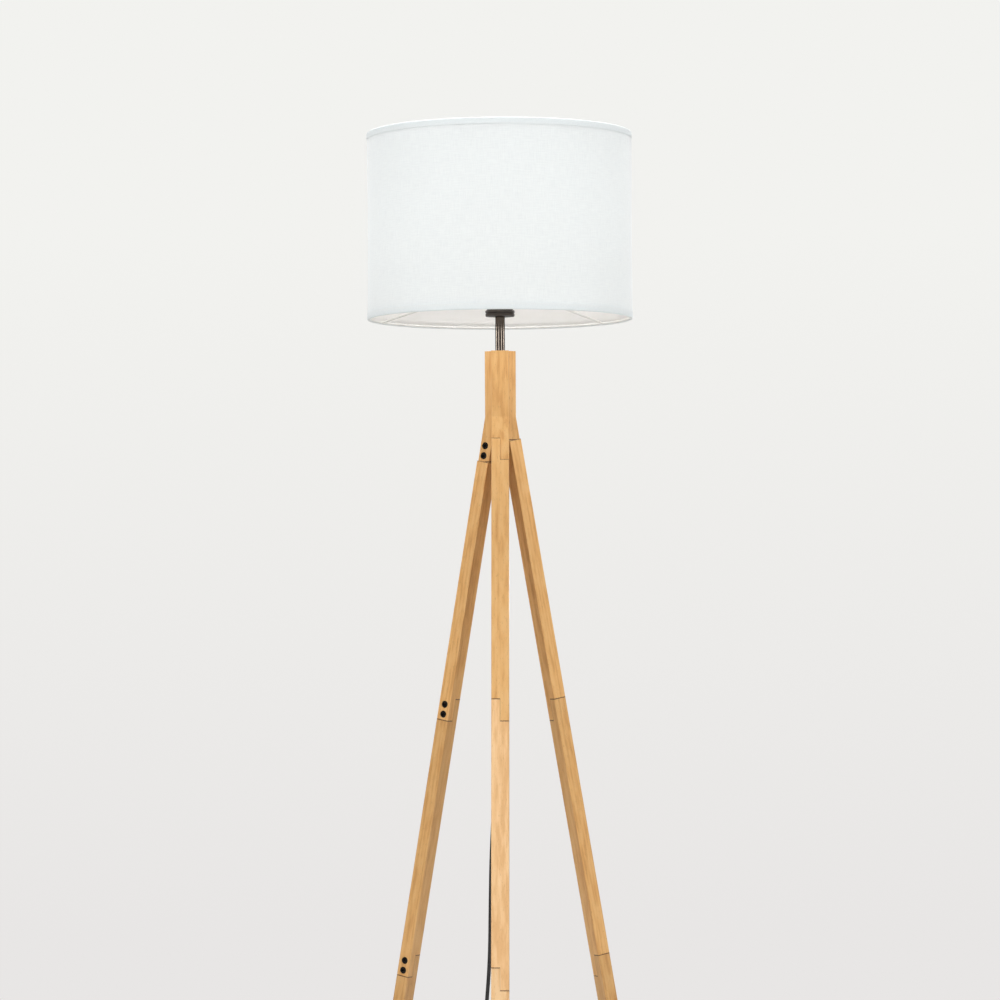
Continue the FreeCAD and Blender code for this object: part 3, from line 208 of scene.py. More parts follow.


@dataclass(frozen=True)
class OiledHardwood(Finish):
    """Planed hardwood batten under oil: even honey colour, faint straight grain, short dark pores.

    The grain runs along the local Z axis of the piece, so the pattern is turned with it. Where
    two pieces lap, the end of each is an open seam, drawn as a line of painted shade over the
    darker end grain: it lies at the top seam, and a pitch further down each time, and on the +Y
    half one lap lower.
    """

    lap: Lap = Lap(1.0)
    grain_turn: tuple[float, float, float] = (0.0, 0.0, 0.0)
    cut_from: tuple[float, float, float] = (0.0, 0.0, 0.0)
    board: Board = Board.HONEY
    tone: float = 1.0
    pore: str = "7A4E27"
    # colour of the painted shade in the open seams, over the darker end grain
    seam_shade: str = "5A3719"
    line_mm: float = 5.5
    fibre_mm: float = 1.0
    pore_mm: float = 0.7  # real pores are a quarter of this, and would not show
    roughness: float = 0.44
    oil_coat: float = 0.1

    def dress(self, tree: bpy.types.NodeTree, surface: Any) -> None:
        """Growth lines, fibres and pores, each a noise drawn out along the grain, and the painted shade of
        the seams.

        Args:
            tree: The material's node tree.
            surface: Its Principled surface.
        """
        place = add(tree, "TexCoord", {}).outputs["Object"]
        piece = add(tree, "Mapping", {"Vector": place, "Rotation": self.grain_turn}).outputs["Vector"]
        board = add(tree, "Mapping", {"Vector": piece, "Location": self.cut_from}).outputs["Vector"]
        noise = {}
        # name, size across and along the grain in mm, detail, distortion
        for name, across, along_it, detail, bend in (
            ("figure", 14.0, 240.0, 2.0, 0.4),
            ("fibre", self.fibre_mm, 48.0, 3.0, 0.0),
            ("mottle", 6.0, 34.0, 2.0, 0.0),
            ("pores", self.pore_mm, 5.5, 1.0, 0.0),
        ):
            scaled = add(tree, "Mapping", {"Vector": board, "Scale": sizes(across, across, along_it)})
            noise[name] = add(tree, "TexNoise", {
                "Vector": scaled.outputs["Vector"], "Scale": 1.0, "Detail": detail, "Distortion": bend,
            }).outputs["Fac"]
        open_pores = add(tree, "MapRange", {
            "Value": noise["pores"], "From Min": 0.66, "From Max": 0.75, "To Max": 0.42,
        }).outputs[0]
        across_board = add(tree, "SeparateXYZ", {"Vector": board}).outputs["X"]
        own = add(tree, "SeparateXYZ", {"Vector": piece})
        known = {**noise, "open pores": open_pores, "across": across_board, "y": own.outputs["Y"],
                 "z": own.outputs["Z"]}
        for name, operation, *terms in self.steps():
            inputs = {i: known[term] if isinstance(term, str) else term for i, term in enumerate(terms)}
            known[name] = add(tree, "Math", inputs, operation=operation).outputs[0]
        early, middle, late = self.board.value
        wood = add(tree, "ValToRGB", {"Fac": known["level"]}, stops=[
            (0.5, linear(late, self.tone)), (0.88, linear(early, self.tone)),
            (0.69, linear(middle, self.tone)),
        ])
        grained = add(tree, "MixRGB", {
            "Fac": open_pores, "Color1": wood.outputs["Color"], "Color2": linear(self.pore, self.tone),
        })
        # painted shade of the open seams, and fainter of the line between halves side by side, over the
        # darker end grain
        colour = add(tree, "MixRGB", {
            "Fac": known["seam shade shown"], "Color1": grained.outputs["Color"],
            "Color2": linear(self.seam_shade),
        })
        bump = add(tree, "Bump", {"Height": known["relief"], "Strength": 0.22, "Distance": 0.15 * MM})
        surface.inputs["Coat Weight"].default_value = self.oil_coat
        surface.inputs["Coat Roughness"].default_value = 0.3
        tree.links.new(colour.outputs["Color"], surface.inputs["Base Color"])
        tree.links.new(known["shine"], surface.inputs["Roughness"])
        tree.links.new(bump.outputs["Normal"], surface.inputs["Normal"])

    def steps(self) -> list[tuple[Any, ...]]:
        """Arithmetic on the patterns, in order.

        Growth lines are the sine of the place across the board, pushed about by the figure. A seam,
        drawn in painted shade, is where the way down the leg comes near a multiple of the pitch,
        and half a lap on, the line between two halves that lie side by side.

        Returns:
            Each step's name, its operation, and its numbers or the names of earlier steps.
        """
        lap = self.lap
        return [
            ("turned", "MULTIPLY", "across", TURN / (self.line_mm * MM)),
            ("angle", "MULTIPLY_ADD", "figure", 15.0, "turned"),
            ("wave", "SINE", "angle"),
            ("lined", "MULTIPLY_ADD", "wave", 0.09, "mottle"),
            ("level", "MULTIPLY_ADD", "fibre", 0.4, "lined"),
            ("far half", "GREATER_THAN", "y", 0.0),
            ("down", "SUBTRACT", lap.top, "z"),
            ("from end", "MULTIPLY_ADD", "far half", -lap.length, "down"),
            ("nearest", "PINGPONG", "from end", lap.pitch / 2),
            ("to seam", "MULTIPLY_ADD", "fibre", 1.0 * MM, "nearest"),
            ("at end", "LESS_THAN", "to seam", lap.line / 2 + 0.5 * MM),
            ("into lap", "FLOORED_MODULO", "down", lap.pitch),
            ("in lap", "LESS_THAN", "into lap", lap.length),
            ("off middle", "ABSOLUTE", "y"),
            ("beside", "LESS_THAN", "off middle", 0.28 * MM),
            ("below top", "GREATER_THAN", "down", 0.0),
            ("lap side", "MULTIPLY", "in lap", "beside"),
            ("split line", "MULTIPLY", "lap side", "below top"),
            ("faint split", "MULTIPLY", "split line", 0.5),
            ("seams", "MAXIMUM", "at end", "faint split"),
            ("below", "GREATER_THAN", "from end", -3.0 * MM),
            ("above", "LESS_THAN", "from end", (lap.laps - 0.5) * lap.pitch),
            ("on laps", "MULTIPLY", "below", "above"),
            ("shown", "MULTIPLY", "on laps", 0.9),
            ("seam shade shown", "MULTIPLY", "seams", "shown"),
            ("shine", "MULTIPLY_ADD", "fibre", 0.2, self.roughness - 0.1),
            ("relief", "MULTIPLY_ADD", "open pores", -1.4, "fibre"),
        ]


@dataclass(frozen=True)
class WovenCloth(Finish):
    """Plain woven cloth: threads both ways with slubs, read from a UV map laid out in metres.

    Threads of 0.5 mm are finer than the picture, so the slubs are drawn as coarse as they show.
    """

    colour: str = "F4F6F7"
    shadow: str = "E2E5E8"
    thread_mm: float = 1.3
    slub_mm: float = 17.0
    depth_mm: float = 0.12
    roughness: float = 0.82
    sheen: float = 0.25
    glow: float = 0.0
    glow_reach_mm: float = 4.0

    def dress(self, tree: bpy.types.NodeTree, surface: Any) -> None:
        """Two noises, drawn out along the weft and along the warp, summed for colour and relief.

        Args:
            tree: The material's node tree.
            surface: Its Principled surface.
        """
        flat = add(tree, "UVMap", {}, uv_map="UVMap").outputs["UV"]
        threads = []
        for wide, high in ((self.slub_mm, self.thread_mm), (self.thread_mm, self.slub_mm)):
            scaled = add(tree, "Mapping", {"Vector": flat, "Scale": sizes(wide, high, high)})
            threads.append(add(tree, "TexNoise", {
                "Vector": scaled.outputs["Vector"], "Scale": 1.0, "Detail": 2.0,
            }).outputs["Fac"])
        both = add(tree, "Math", dict(enumerate(threads)), operation="ADD")
        half = add(tree, "Math", {0: both.outputs[0], 1: 0.5}, operation="MULTIPLY")
        cloth = add(tree, "ValToRGB", {"Fac": half.outputs[0]}, stops=[
            (0.36, linear(self.shadow)), (0.62, linear(self.colour)),
        ])
        bump = add(tree, "Bump", {
            "Height": half.outputs[0], "Strength": 0.5, "Distance": self.depth_mm * MM,
        })
        surface.inputs["Roughness"].default_value = self.roughness
        surface.inputs["Sheen Weight"].default_value = self.sheen
        surface.inputs["Subsurface Weight"].default_value = self.glow
        surface.inputs["Subsurface Radius"].default_value = (1.0, 1.0, 1.0)
        surface.inputs["Subsurface Scale"].default_value = self.glow_reach_mm * MM
        tree.links.new(cloth.outputs["Color"], surface.inputs["Base Color"])
        tree.links.new(bump.outputs["Normal"], surface.inputs["Normal"])


@dataclass(frozen=True)
class WorkedSurface(Finish):
    """A hard surface: a fine grain from its making, under a broad unevenness from handling.

    The grain is a noise as large as its own size each way, and gives the relief. The unevenness is
    a broader noise that leads the colour from clean to worn and spreads the roughness.
    """

    colour: str = "202022"
    worn: str = "2B2B2E"
    roughness: float = 0.42
    grain_mm: float = 0.8
    depth_mm: float = 0.03
    spread: float = 0.12
    wear_mm: float = 22.0
    wear_detail: float = 3.0
    wear_stops: tuple[float, float] = (0.38, 0.68)
    relief: float = 0.4

    def grain(self) -> tuple[float, float, float]:
        """Size of the grain along X, Y and Z, in millimetres."""
        return (self.grain_mm, self.grain_mm, self.grain_mm)

    def sockets(self) -> dict[str, Any]:
        """Values that are the same all over the surface, by the name of their socket."""
        return {}

    def dress(self, tree: bpy.types.NodeTree, surface: Any) -> None:
        """Adds both noises, and joins them to the colour, the roughness and the relief.

        Args:
            tree: The material's node tree.
            surface: Its Principled surface.
        """
        place = add(tree, "TexCoord", {}).outputs["Object"]
        scaled = add(tree, "Mapping", {"Vector": place, "Scale": sizes(*self.grain())})
        fine = add(tree, "TexNoise", {
            "Vector": scaled.outputs["Vector"], "Scale": 1.0, "Detail": 2.0,
        }).outputs["Fac"]
        wear = add(tree, "TexNoise", {
            "Vector": place, "Scale": sizes(self.wear_mm)[0], "Detail": self.wear_detail,
        }).outputs["Fac"]
        colours = (linear(self.colour), linear(self.worn))
        colour = add(tree, "ValToRGB", {"Fac": wear}, stops=list(zip(self.wear_stops, colours)))
        shine = add(tree, "Math", {0: wear, 1: self.spread, 2: self.roughness - self.spread / 2},
                    operation="MULTIPLY_ADD")
        bump = add(tree, "Bump", {"Height": fine, "Strength": self.relief, "Distance": self.depth_mm * MM})
        for name, value in self.sockets().items():
            surface.inputs[name].default_value = value
        tree.links.new(colour.outputs["Color"], surface.inputs["Base Color"])
        tree.links.new(shine.outputs[0], surface.inputs["Roughness"])
        tree.links.new(bump.outputs["Normal"], surface.inputs["Normal"])


@dataclass(frozen=True)
class Moulded(WorkedSurface):
    """Plastic, rubber, paint or glaze: an even colour over the fine grain of the mould or spray."""

    coat: float = 0.0
    glow: float = 0.0
    glow_reach_mm: float = 4.0

    def sockets(self) -> dict[str, Any]:
        """A clear coat, and light that spreads alike in every colour inside a thin wall."""
        return {
            "Coat Weight": self.coat,
            "Subsurface Weight": self.glow,
            "Subsurface Radius": (1.0, 1.0, 1.0),
            "Subsurface Scale": self.glow_reach_mm * MM,
        }


@dataclass(frozen=True)
class TurnedMetal(WorkedSurface):
    """Metal turned on a lathe and plated: faint tool lines round the axis and a film of handling."""

    colour: str = "B8B6B0"
    worn: str = "A09E98"
    roughness: float = 0.3
    grain_mm: float = 0.7
    depth_mm: float = 0.012
    spread: float = 0.16
    wear_mm: float = 9.0
    wear_detail: float = 4.0
    wear_stops: tuple[float, float] = (0.4, 0.72)
    relief: float = 0.35
    metallic: float = 1.0
    edge: str = "FFFFFF"
    line_run_mm: float = 40.0

    def grain(self) -> tuple[float, float, float]:
        """Tool lines: a noise squeezed along Z, so that it runs round an upright part."""
        return (self.line_run_mm, self.line_run_mm, self.grain_mm)

    def sockets(self) -> dict[str, Any]:
        """A metal, with the tint that it takes where it is seen edge on."""
        return {"Metallic": self.metallic, "Specular Tint": linear(self.edge)}


@dataclass(frozen=True)
class ExtrudedJacket(WorkedSurface):
    """Soft jacket drawn over a cord's cores: satin, with a fine skin and a little dust."""

    colour: str = "131314"
    worn: str = "1E1E1F"
    roughness: float = 0.46
    grain_mm: float = 1.6
    depth_mm: float = 0.05
    spread: float = 0.2
    wear_mm: float = 14.0
    wear_detail: float = 4.0
    wear_stops: tuple[float, float] = (0.42, 0.75)
    relief: float = 0.3


# Finishes of this lamp, each named for the material and how its surface was made. After the two
# colours come the roughness, and the size and depth of the grain in millimetres.

# Plated over a polished tube: a dark mirror with one warm streak of light down it.
BLACK_NICKEL_POLISHED = TurnedMetal(
    "black_nickel_polished", "5A524B", "4F4842", Lustre.POLISHED.value, edge="6A625B")
# Plated over the lathe's lines: dark and soft, with broad highlights.
GUNMETAL_SATIN = TurnedMetal("gunmetal_satin", "5B5551", "4F4A47", Lustre.SATIN.value, 0.9, 0.02)
# Blackened in a hot bath and oiled: nearly black, with a dull gleam on the edges.
BLACK_OXIDE = TurnedMetal("black_oxide_steel", "302E2C", "3A3735", 0.28, 0.5, 0.01, metallic=0.8)
# Cut and left bare: yellow, browner where it has been handled.
TURNED_BRASS = TurnedMetal("turned_brass", "C9A55C", "B08F4E", 0.28)
# Dipped or plated: cool grey, a little cloudy.
ZINC_PLATE = TurnedMetal("zinc_plated_steel", "B9BBBA", "A3A6A6", 0.36)
# Bright plate on brass: warm silver with crisp highlights.
NICKEL_PLATE = TurnedMetal("nickel_plated_brass", "C2BFB6", "ACA9A1", 0.2)
# Cut from sheet: pale, with a blurred shine.
MILLED_ALUMINIUM = TurnedMetal("milled_aluminium", "D3D5D5", "BFC2C2", 0.4)
# Pressed hot in a polished mould: brownish black and glossy.
MOULDED_PHENOLIC = Moulded("moulded_black_phenolic", "1A1817", "262322", 0.26, 0.6, 0.015, 0.1, coat=0.25)
# Injected into a sparked mould: black with a fine, even matt grain.
MOULDED_NYLON = Moulded("moulded_black_nylon", "1D1D1F", "29292B", 0.44, 0.7, 0.04, 0.14)
# Moulded soft: flat black that drinks the light.
MOULDED_RUBBER = Moulded("moulded_black_rubber", "1B1B1B", "2E2D2C", 0.72, 1.1, 0.06)
# Fired glaze: cream white, wet looking, with a faint waviness.
GLAZED_PORCELAIN = Moulded("glazed_porcelain", "ECE8DF", "E3DED3", 0.12, 3.0, 0.02, 0.06, coat=0.5)
# Drawn over a single core: plain brown, half matt.
CORE_SLEEVE = Moulded("extruded_brown_core_sleeve", "5B3D28", "6A4830", 0.5, 1.0, 0.02)
# Sprayed and baked on wire: white with a slight orange peel.
POWDER_COAT = Moulded("white_powder_coat", "E9E9E6", "E2E2DE", 0.4, 1.2, 0.03, 0.08)
# Frosted inside: milky, lit through, with no sharp highlight.
FROSTED_GLOBE = Moulded("frosted_opal_globe", "EFEFEC", "EAEAE7", 0.5, 1.4, 0.01, 0.08, glow=0.35)
# Injected in a finer mould: white with a soft sheen.
WHITE_HOUSING = Moulded("moulded_white_housing", "EDEDEB", "E6E6E3", 0.34, 0.9, 0.02, 0.1)
# Cotton drawn tight: cool white with a slubbed weave, and light glows through it.
SHADE_COTTON = WovenCloth("woven_white_shade_cotton", "E4ECEE", "DDE5E8", glow=0.8)
# Plastic sheet rolled smooth: warm white, even, passing the light on.
SHADE_LINING = Moulded("calendered_white_shade_lining", "FAF8F5", "F8F6F2", 0.6, 2.5, 0.01, 0.03, glow=0.6)
# Tape cut on the bias and glued: a finer weave than the cover's, and opaque.
BIAS_TAPE = WovenCloth("woven_white_bias_tape", "E5EBEC", "DFE5E7", 0.9, 5.0, 0.08, 0.85, 0.2)
# Woven with a pile: fuzzy black, coarse, with a pale bloom at the edge.
HOOK_AND_LOOP = WovenCloth("woven_black_hook_and_loop", "26262A", "101012", 0.8, 2.2, 0.5, 0.9, 0.3)
# Drawn through a die: satin black, dusty in patches.
CORD_PVC = ExtrudedJacket("extruded_black_cord_jacket")


# ------------------------------------------------------------------ mesh helpers


def grid_piece(
    name: str,
    points: Array,
    lengths: tuple[Array, Array],
    loops: tuple[bool, bool],
    capped: bool = False,
    sharp: float = 35.0,
) -> bpy.types.Object:
    """Makes a mesh from points computed on a grid of two parameters.

    Each face joins the four neighbours on the grid, and a looped direction joins its last row to
    its first. Points that coincide, as at a pole, are merged, and the normals are turned outwards.

    Args:
        name: The piece's name.
        points: Places on the grid, an array of rows by columns by three.
        lengths: Lengths in metres along the rows and the columns, one more than there are steps
            where that direction is looped; they become the UV map.
        loops: Whether the rows and the columns close on themselves.
        capped: Whether open ends are closed with a face.
        sharp: Edges that turn by more than this many degrees are drawn sharp.

    Returns:
        The object, at the origin, linked to the scene.
    """
    rows, columns = points.shape[:2]
    steps = (rows if loops[0] else rows - 1, columns if loops[1] else columns - 1)
    i, j = np.meshgrid(np.arange(steps[0]), np.arange(steps[1]), indexing="ij")
    corners_i = np.stack([i, i + 1, i + 1, i], axis=-1).reshape(-1, 4)
    corners_j = np.stack([j, j, j + 1, j + 1], axis=-1).reshape(-1, 4)
    faces = (corners_i % rows) * columns + corners_j % columns
    mesh = bpy.data.meshes.new(name)
    mesh.from_pydata(points.reshape(-1, 3).tolist(), [], faces.tolist())
    layer = mesh.uv_layers.new(name="UVMap")
    flat = np.stack([lengths[0][corners_i], lengths[1][corners_j]], axis=-1)
    layer.data.foreach_set("uv", flat.astype(np.float32).ravel())
    work = bmesh.new()
    work.from_mesh(mesh)
    bmesh.ops.remove_doubles(work, verts=work.verts, dist=1e-7)
    if capped:
        bmesh.ops.holes_fill(work, edges=[edge for edge in work.edges if edge.is_boundary])
    bmesh.ops.recalc_face_normals(work, faces=work.faces)
    work.to_mesh(mesh)
    work.free()
    mesh.polygons.foreach_set("use_smooth", np.ones(len(mesh.polygons), bool))
    mesh.set_sharp_from_angle(angle=math.radians(sharp))
    mesh.update()
    piece = bpy.data.objects.new(name, mesh)
    bpy.context.scene.collection.objects.link(piece)
    return piece


def along(points: Array, closed: bool) -> Array:
    """Lengths along a line of points, from 0, with the way back to the start if it is closed."""
    line = np.vstack([points, points[:1]]) if closed else points
    return np.concatenate([[0.0], np.cumsum(np.linalg.norm(np.diff(line, axis=0), axis=1))])


def beside(line: Array) -> Array:
    """Finds the directions across a flat line, to its right as the line runs.

    Args:
        line: Its points, two numbers each.

    Returns:
        One unit vector for each point.
    """
    tangent = np.gradient(line, axis=0)
    tangent /= np.linalg.norm(tangent, axis=1)[:, None]
    return np.column_stack([tangent[:, 1], -tangent[:, 0]])


def carried_round(
    name: str,
    profile: Array,
    segments: int,
    swell: Callable[[Array, Array], Array] | None = None,
    centre: Sequence[float] = (0.0, 0.0),
) -> bpy.types.Object:
    """Makes a ring from a closed profile carried once round an upright axis.

    A point of the ring is at radius r + swell(angle, z) from the axis, at its profile's height z.

    Args:
        name: The piece's name.
        profile: Radius and height of the profile's points, in order round it.
        segments: Steps round the axis.
        swell: What is added to the radius, from arrays of angles and heights.
        centre: Where the axis stands.

    Returns:
        The finished ring.
    """
    angle = np.arange(segments)[:, None] * TURN / segments
    radius, height = np.broadcast_arrays(profile[None, :, 0], profile[None, :, 1])
    height = height + 0.0 * angle
    radius = radius + (swell(angle, height) if swell else 0.0 * angle)
    points = np.stack([centre[0] + radius * np.cos(angle), centre[1] + radius * np.sin(angle), height],
                      axis=-1)
    girth = profile[:, 0].max() * TURN
    round_it = np.arange(segments + 1) * girth / segments
    return grid_piece(name, points, (round_it, along(profile, True)), (True, True))


def smooth_step(value: Array) -> Array:
    """Goes from 0 to 1 with level ends: three squares less two cubes."""
    share = np.clip(value, 0.0, 1.0)
    return share * share * (3.0 - 2.0 * share)


def settle(piece: bpy.types.Object, body: Body, finish: Finish, slot: str,
           *nodes: str) -> bpy.types.Object:
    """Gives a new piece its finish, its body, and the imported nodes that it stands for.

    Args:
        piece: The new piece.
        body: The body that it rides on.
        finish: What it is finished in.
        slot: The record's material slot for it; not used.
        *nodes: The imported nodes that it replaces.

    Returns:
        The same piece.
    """
    piece.data.materials.append(finish.material())
    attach(piece, body.value)
    if nodes:
        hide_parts(*nodes)
    LOG.info("%s rides on %s", piece.name, body.value)
    return piece


def refinish(finish: Finish, *names: str) -> None:
    """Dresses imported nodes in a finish.

    Args:
        finish: What they are finished in.
        *names: The nodes.
    """
    for name in names:
        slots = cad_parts[name].data.materials
        slots.clear()
        slots.append(finish.material())
        LOG.info("%s is finished in %s", name, finish.name)


# ------------------------------------------------------------------ stage


@dataclass(frozen=True)
class Studio:
    """Camera, pale floor and soft light; lengths in metres, angles in degrees, power in watts."""

    distance: float = 5.5
    azimuth: float = 1.6
    eye_height: float = 0.8868
    seen_width: float = 1.431
    look_up: float = 1.79
    roll: float = -0.3
    sidestep: float = -0.0014
    floor_radius: float = 3.3
    floor_colour: str = "F1EFEC"
    backdrop: tuple[str, str] = ("E8E6E5", "F2F2EF")
    room_colour: str = "F3F2F0"
    room_strength: float = 0.22
    # name, place, height that it is aimed at on the axis, power, side of its square, spread
    lights: tuple[tuple[Any, ...], ...] = (
        ("key_left", (-2.65, -4.25, 2.1), 0.9, 80.0, 1.7, 180.0),
        ("key_right", (2.75, -4.15, 2.0), 0.9, 76.0, 1.7, 180.0),
        ("overhead", (0.0, -0.1, 3.4), 0.0, 84.0, 1.8, 180.0),
        ("shade_left", (-2.6, 0.3, 1.5), 1.45, 0.3, 0.5, 20.0),
        ("shade_right", (2.6, 0.3, 1.5), 1.45, 0.3, 0.5, 20.0),
        ("back", (0.6, 4.4, 1.45), 1.2, 40.0, 1.2, 180.0),
    )

    def camera(self) -> None:
        """Sets the camera at eye height before the lamp, looking slightly up."""
        data = bpy.data.cameras.new("camera")
        data.sensor_width = 36.0
        data.lens = data.sensor_width * self.distance / self.seen_width
        eye = bpy.data.objects.new("camera", data)
        turn = math.radians(self.azimuth)
        facing = Matrix.Rotation(turn, 3, "Z")
        eye.location = facing @ Vector((self.sidestep, -self.distance, self.eye_height))
        lifted = Matrix.Rotation(math.radians(90.0 + self.look_up), 3, "X")
        rolled = Matrix.Rotation(math.radians(self.roll), 3, "Z")
        eye.rotation_euler = (facing @ lifted @ rolled).to_euler()
        bpy.context.scene.collection.objects.link(eye)
        bpy.context.scene.camera = eye

    def floor(self) -> None:
        """A round floor of pale matt paint, its radius shared over a few rings."""
        share, spokes = np.linspace(0.0, 1.0, 9), 96
        ring, spoke = np.meshgrid(share * self.floor_radius, np.arange(spokes) * TURN / spokes,
                                  indexing="ij")
        points = np.stack([ring * np.cos(spoke), ring * np.sin(spoke), 0.0 * ring], axis=-1)
        floor = grid_piece("floor", points, (share, np.arange(spokes + 1) / spokes), (False, True))
        if floor.data.polygons[0].normal.z < 0:
            floor.data.flip_normals()
        paint = Moulded("matt_floor_paint", self.floor_colour, self.floor_colour, 0.75, 1.5, 0.004, 0.02)
        floor.data.materials.append(paint.material())

    def light(self, name: str, place: Sequence[float], aim: float, watts: float, size: float,
              spread: float) -> None:
        """Adds a square soft light aimed at the lamp's axis.

        Args:
            name: The light's name.
            place: Where it stands.
            aim: The height on the axis that it points at.
            watts: Its power.
            size: The side of its square.
            spread: The angle that its light fans out over, in degrees.
        """
        data = bpy.data.lights.new(name, "AREA")
        data.energy, data.size, data.spread = watts, size, math.radians(spread)
        lamp = bpy.data.objects.new(name, data)
        lamp.location = place
        lamp.rotation_euler = (Vector((0, 0, aim)) - Vector(place)).to_track_quat("-Z", "Y").to_euler()
        bpy.context.scene.collection.objects.link(lamp)

    def room(self) -> None:
        """A plain backdrop, paler upwards, in an evenly lit room."""
        world = bpy.data.worlds.new("studio")
        world.use_nodes = True
        tree = world.node_tree
        tree.nodes.clear()
        way = add(tree, "SeparateXYZ", {"Vector": add(tree, "TexCoord", {}).outputs["Generated"]})
        rise = add(tree, "MapRange", {"Value": way.outputs["Z"], "From Min": -0.08, "From Max": 0.1})
        low, high = (linear(code) for code in self.backdrop)
        wall = add(tree, "MixRGB", {"Fac": rise.outputs[0], "Color1": low, "Color2": high})
        seen = add(tree, "Background", {"Color": wall.outputs["Color"], "Strength": 1.0})
        around = add(tree, "Background", {
            "Color": linear(self.room_colour), "Strength": self.room_strength,
        })
        path = add(tree, "LightPath", {})
        mix = add(tree, "MixShader", {
            0: path.outputs["Is Camera Ray"], 1: around.outputs[0], 2: seen.outputs[0],
        })
        add(tree, "OutputWorld", {"Surface": mix.outputs[0]})
        bpy.context.scene.world = world
        bpy.context.scene.view_settings.view_transform = "Standard"

    def build(self) -> None:
        """Sets the whole stage."""
        self.camera()
        self.floor()
        for light in self.lights:
            self.light(*light)
        self.room()
        LOG.info("stage is set")


# ------------------------------------------------------------------ timber


@dataclass
class TimberStand:
    """Legs of three screwed lengths each, on a hub glued from three staves.

    The boards are listed from the stave down, each with a factor on the colour of that piece.
    """

    tilt: float = 10.8
    seam_height: float = 1144.9 * MM
    seam_radius: float = 17.09 * MM
    boards: dict[Side, tuple[tuple[Board, float], ...]] = field(default_factory=lambda: {
        Side.FRONT: ((Board.HONEY, 0.97), (Board.HONEY, 1.0), (Board.PALE, 1.06), (Board.PALE, 1.0)),
        Side.RIGHT: ((Board.HONEY, 1.0), (Board.HONEY, 1.17), (Board.HONEY, 1.06), (Board.HONEY, 0.9)),
        Side.LEFT: ((Board.HONEY, 1.0), (Board.HONEY, 1.14), (Board.HONEY, 0.98), (Board.HONEY, 0.88)),
    })

    def grain(self, name: str, side: Side, leans: bool, number: int, cut: tuple[Board, float]) -> None:
        """Dresses one piece of timber with the grain running its own way.

        The pattern's axes are the piece's own: the world's place turned back by the leg's azimuth
        and lean, and moved so that each piece is cut from another part of the board.

        Args:
            name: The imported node.
            side: The leg that it belongs to.
            leans: Whether its grain leans with the leg; a stave's stands upright.
            number: Which piece of the leg it is.
            cut: The board that it is cut from, and how light that is just there.
        """
        lean = math.radians(self.tilt) if leans else 0.0
        turn = Matrix.Rotation(math.radians(side.value), 3, "Z") @ Matrix.Rotation(-lean, 3, "Y")
        top = self.seam_height * math.cos(lean) - self.seam_radius * math.sin(lean)
        back = turn.inverted().to_euler()
        seed = side.value / 100.0 + number * 0.37
        cut_from = (0.013 * number, 0.4 * seed, 1.7 * seed + number)
        finish = OiledHardwood(f"oiled_hardwood_{name}", Lap(top), tuple(back), cut_from, *cut)
        refinish(finish, name)

    def build(self) -> None:
        """Dresses the timber, the bolts, their inserts and the feet."""
        for side in Side:
            label = side.name.lower()
            stave, *lengths = self.boards[side]
            self.grain(f"hub_stave_{label}", side, False, 0, stave)
            for number, (section, cut) in enumerate(zip(Section, lengths), 1):
                self.grain(f"leg_{label}_{section.value}", side, True, number, cut)
        refinish(MOULDED_RUBBER, *(f"foot_pad_{s.name.lower()}" for s in Side))
        refinish(BLACK_OXIDE, "leg_bolts")
        refinish(TURNED_BRASS, "leg_inserts")


# ------------------------------------------------------------------ stem and lampholder


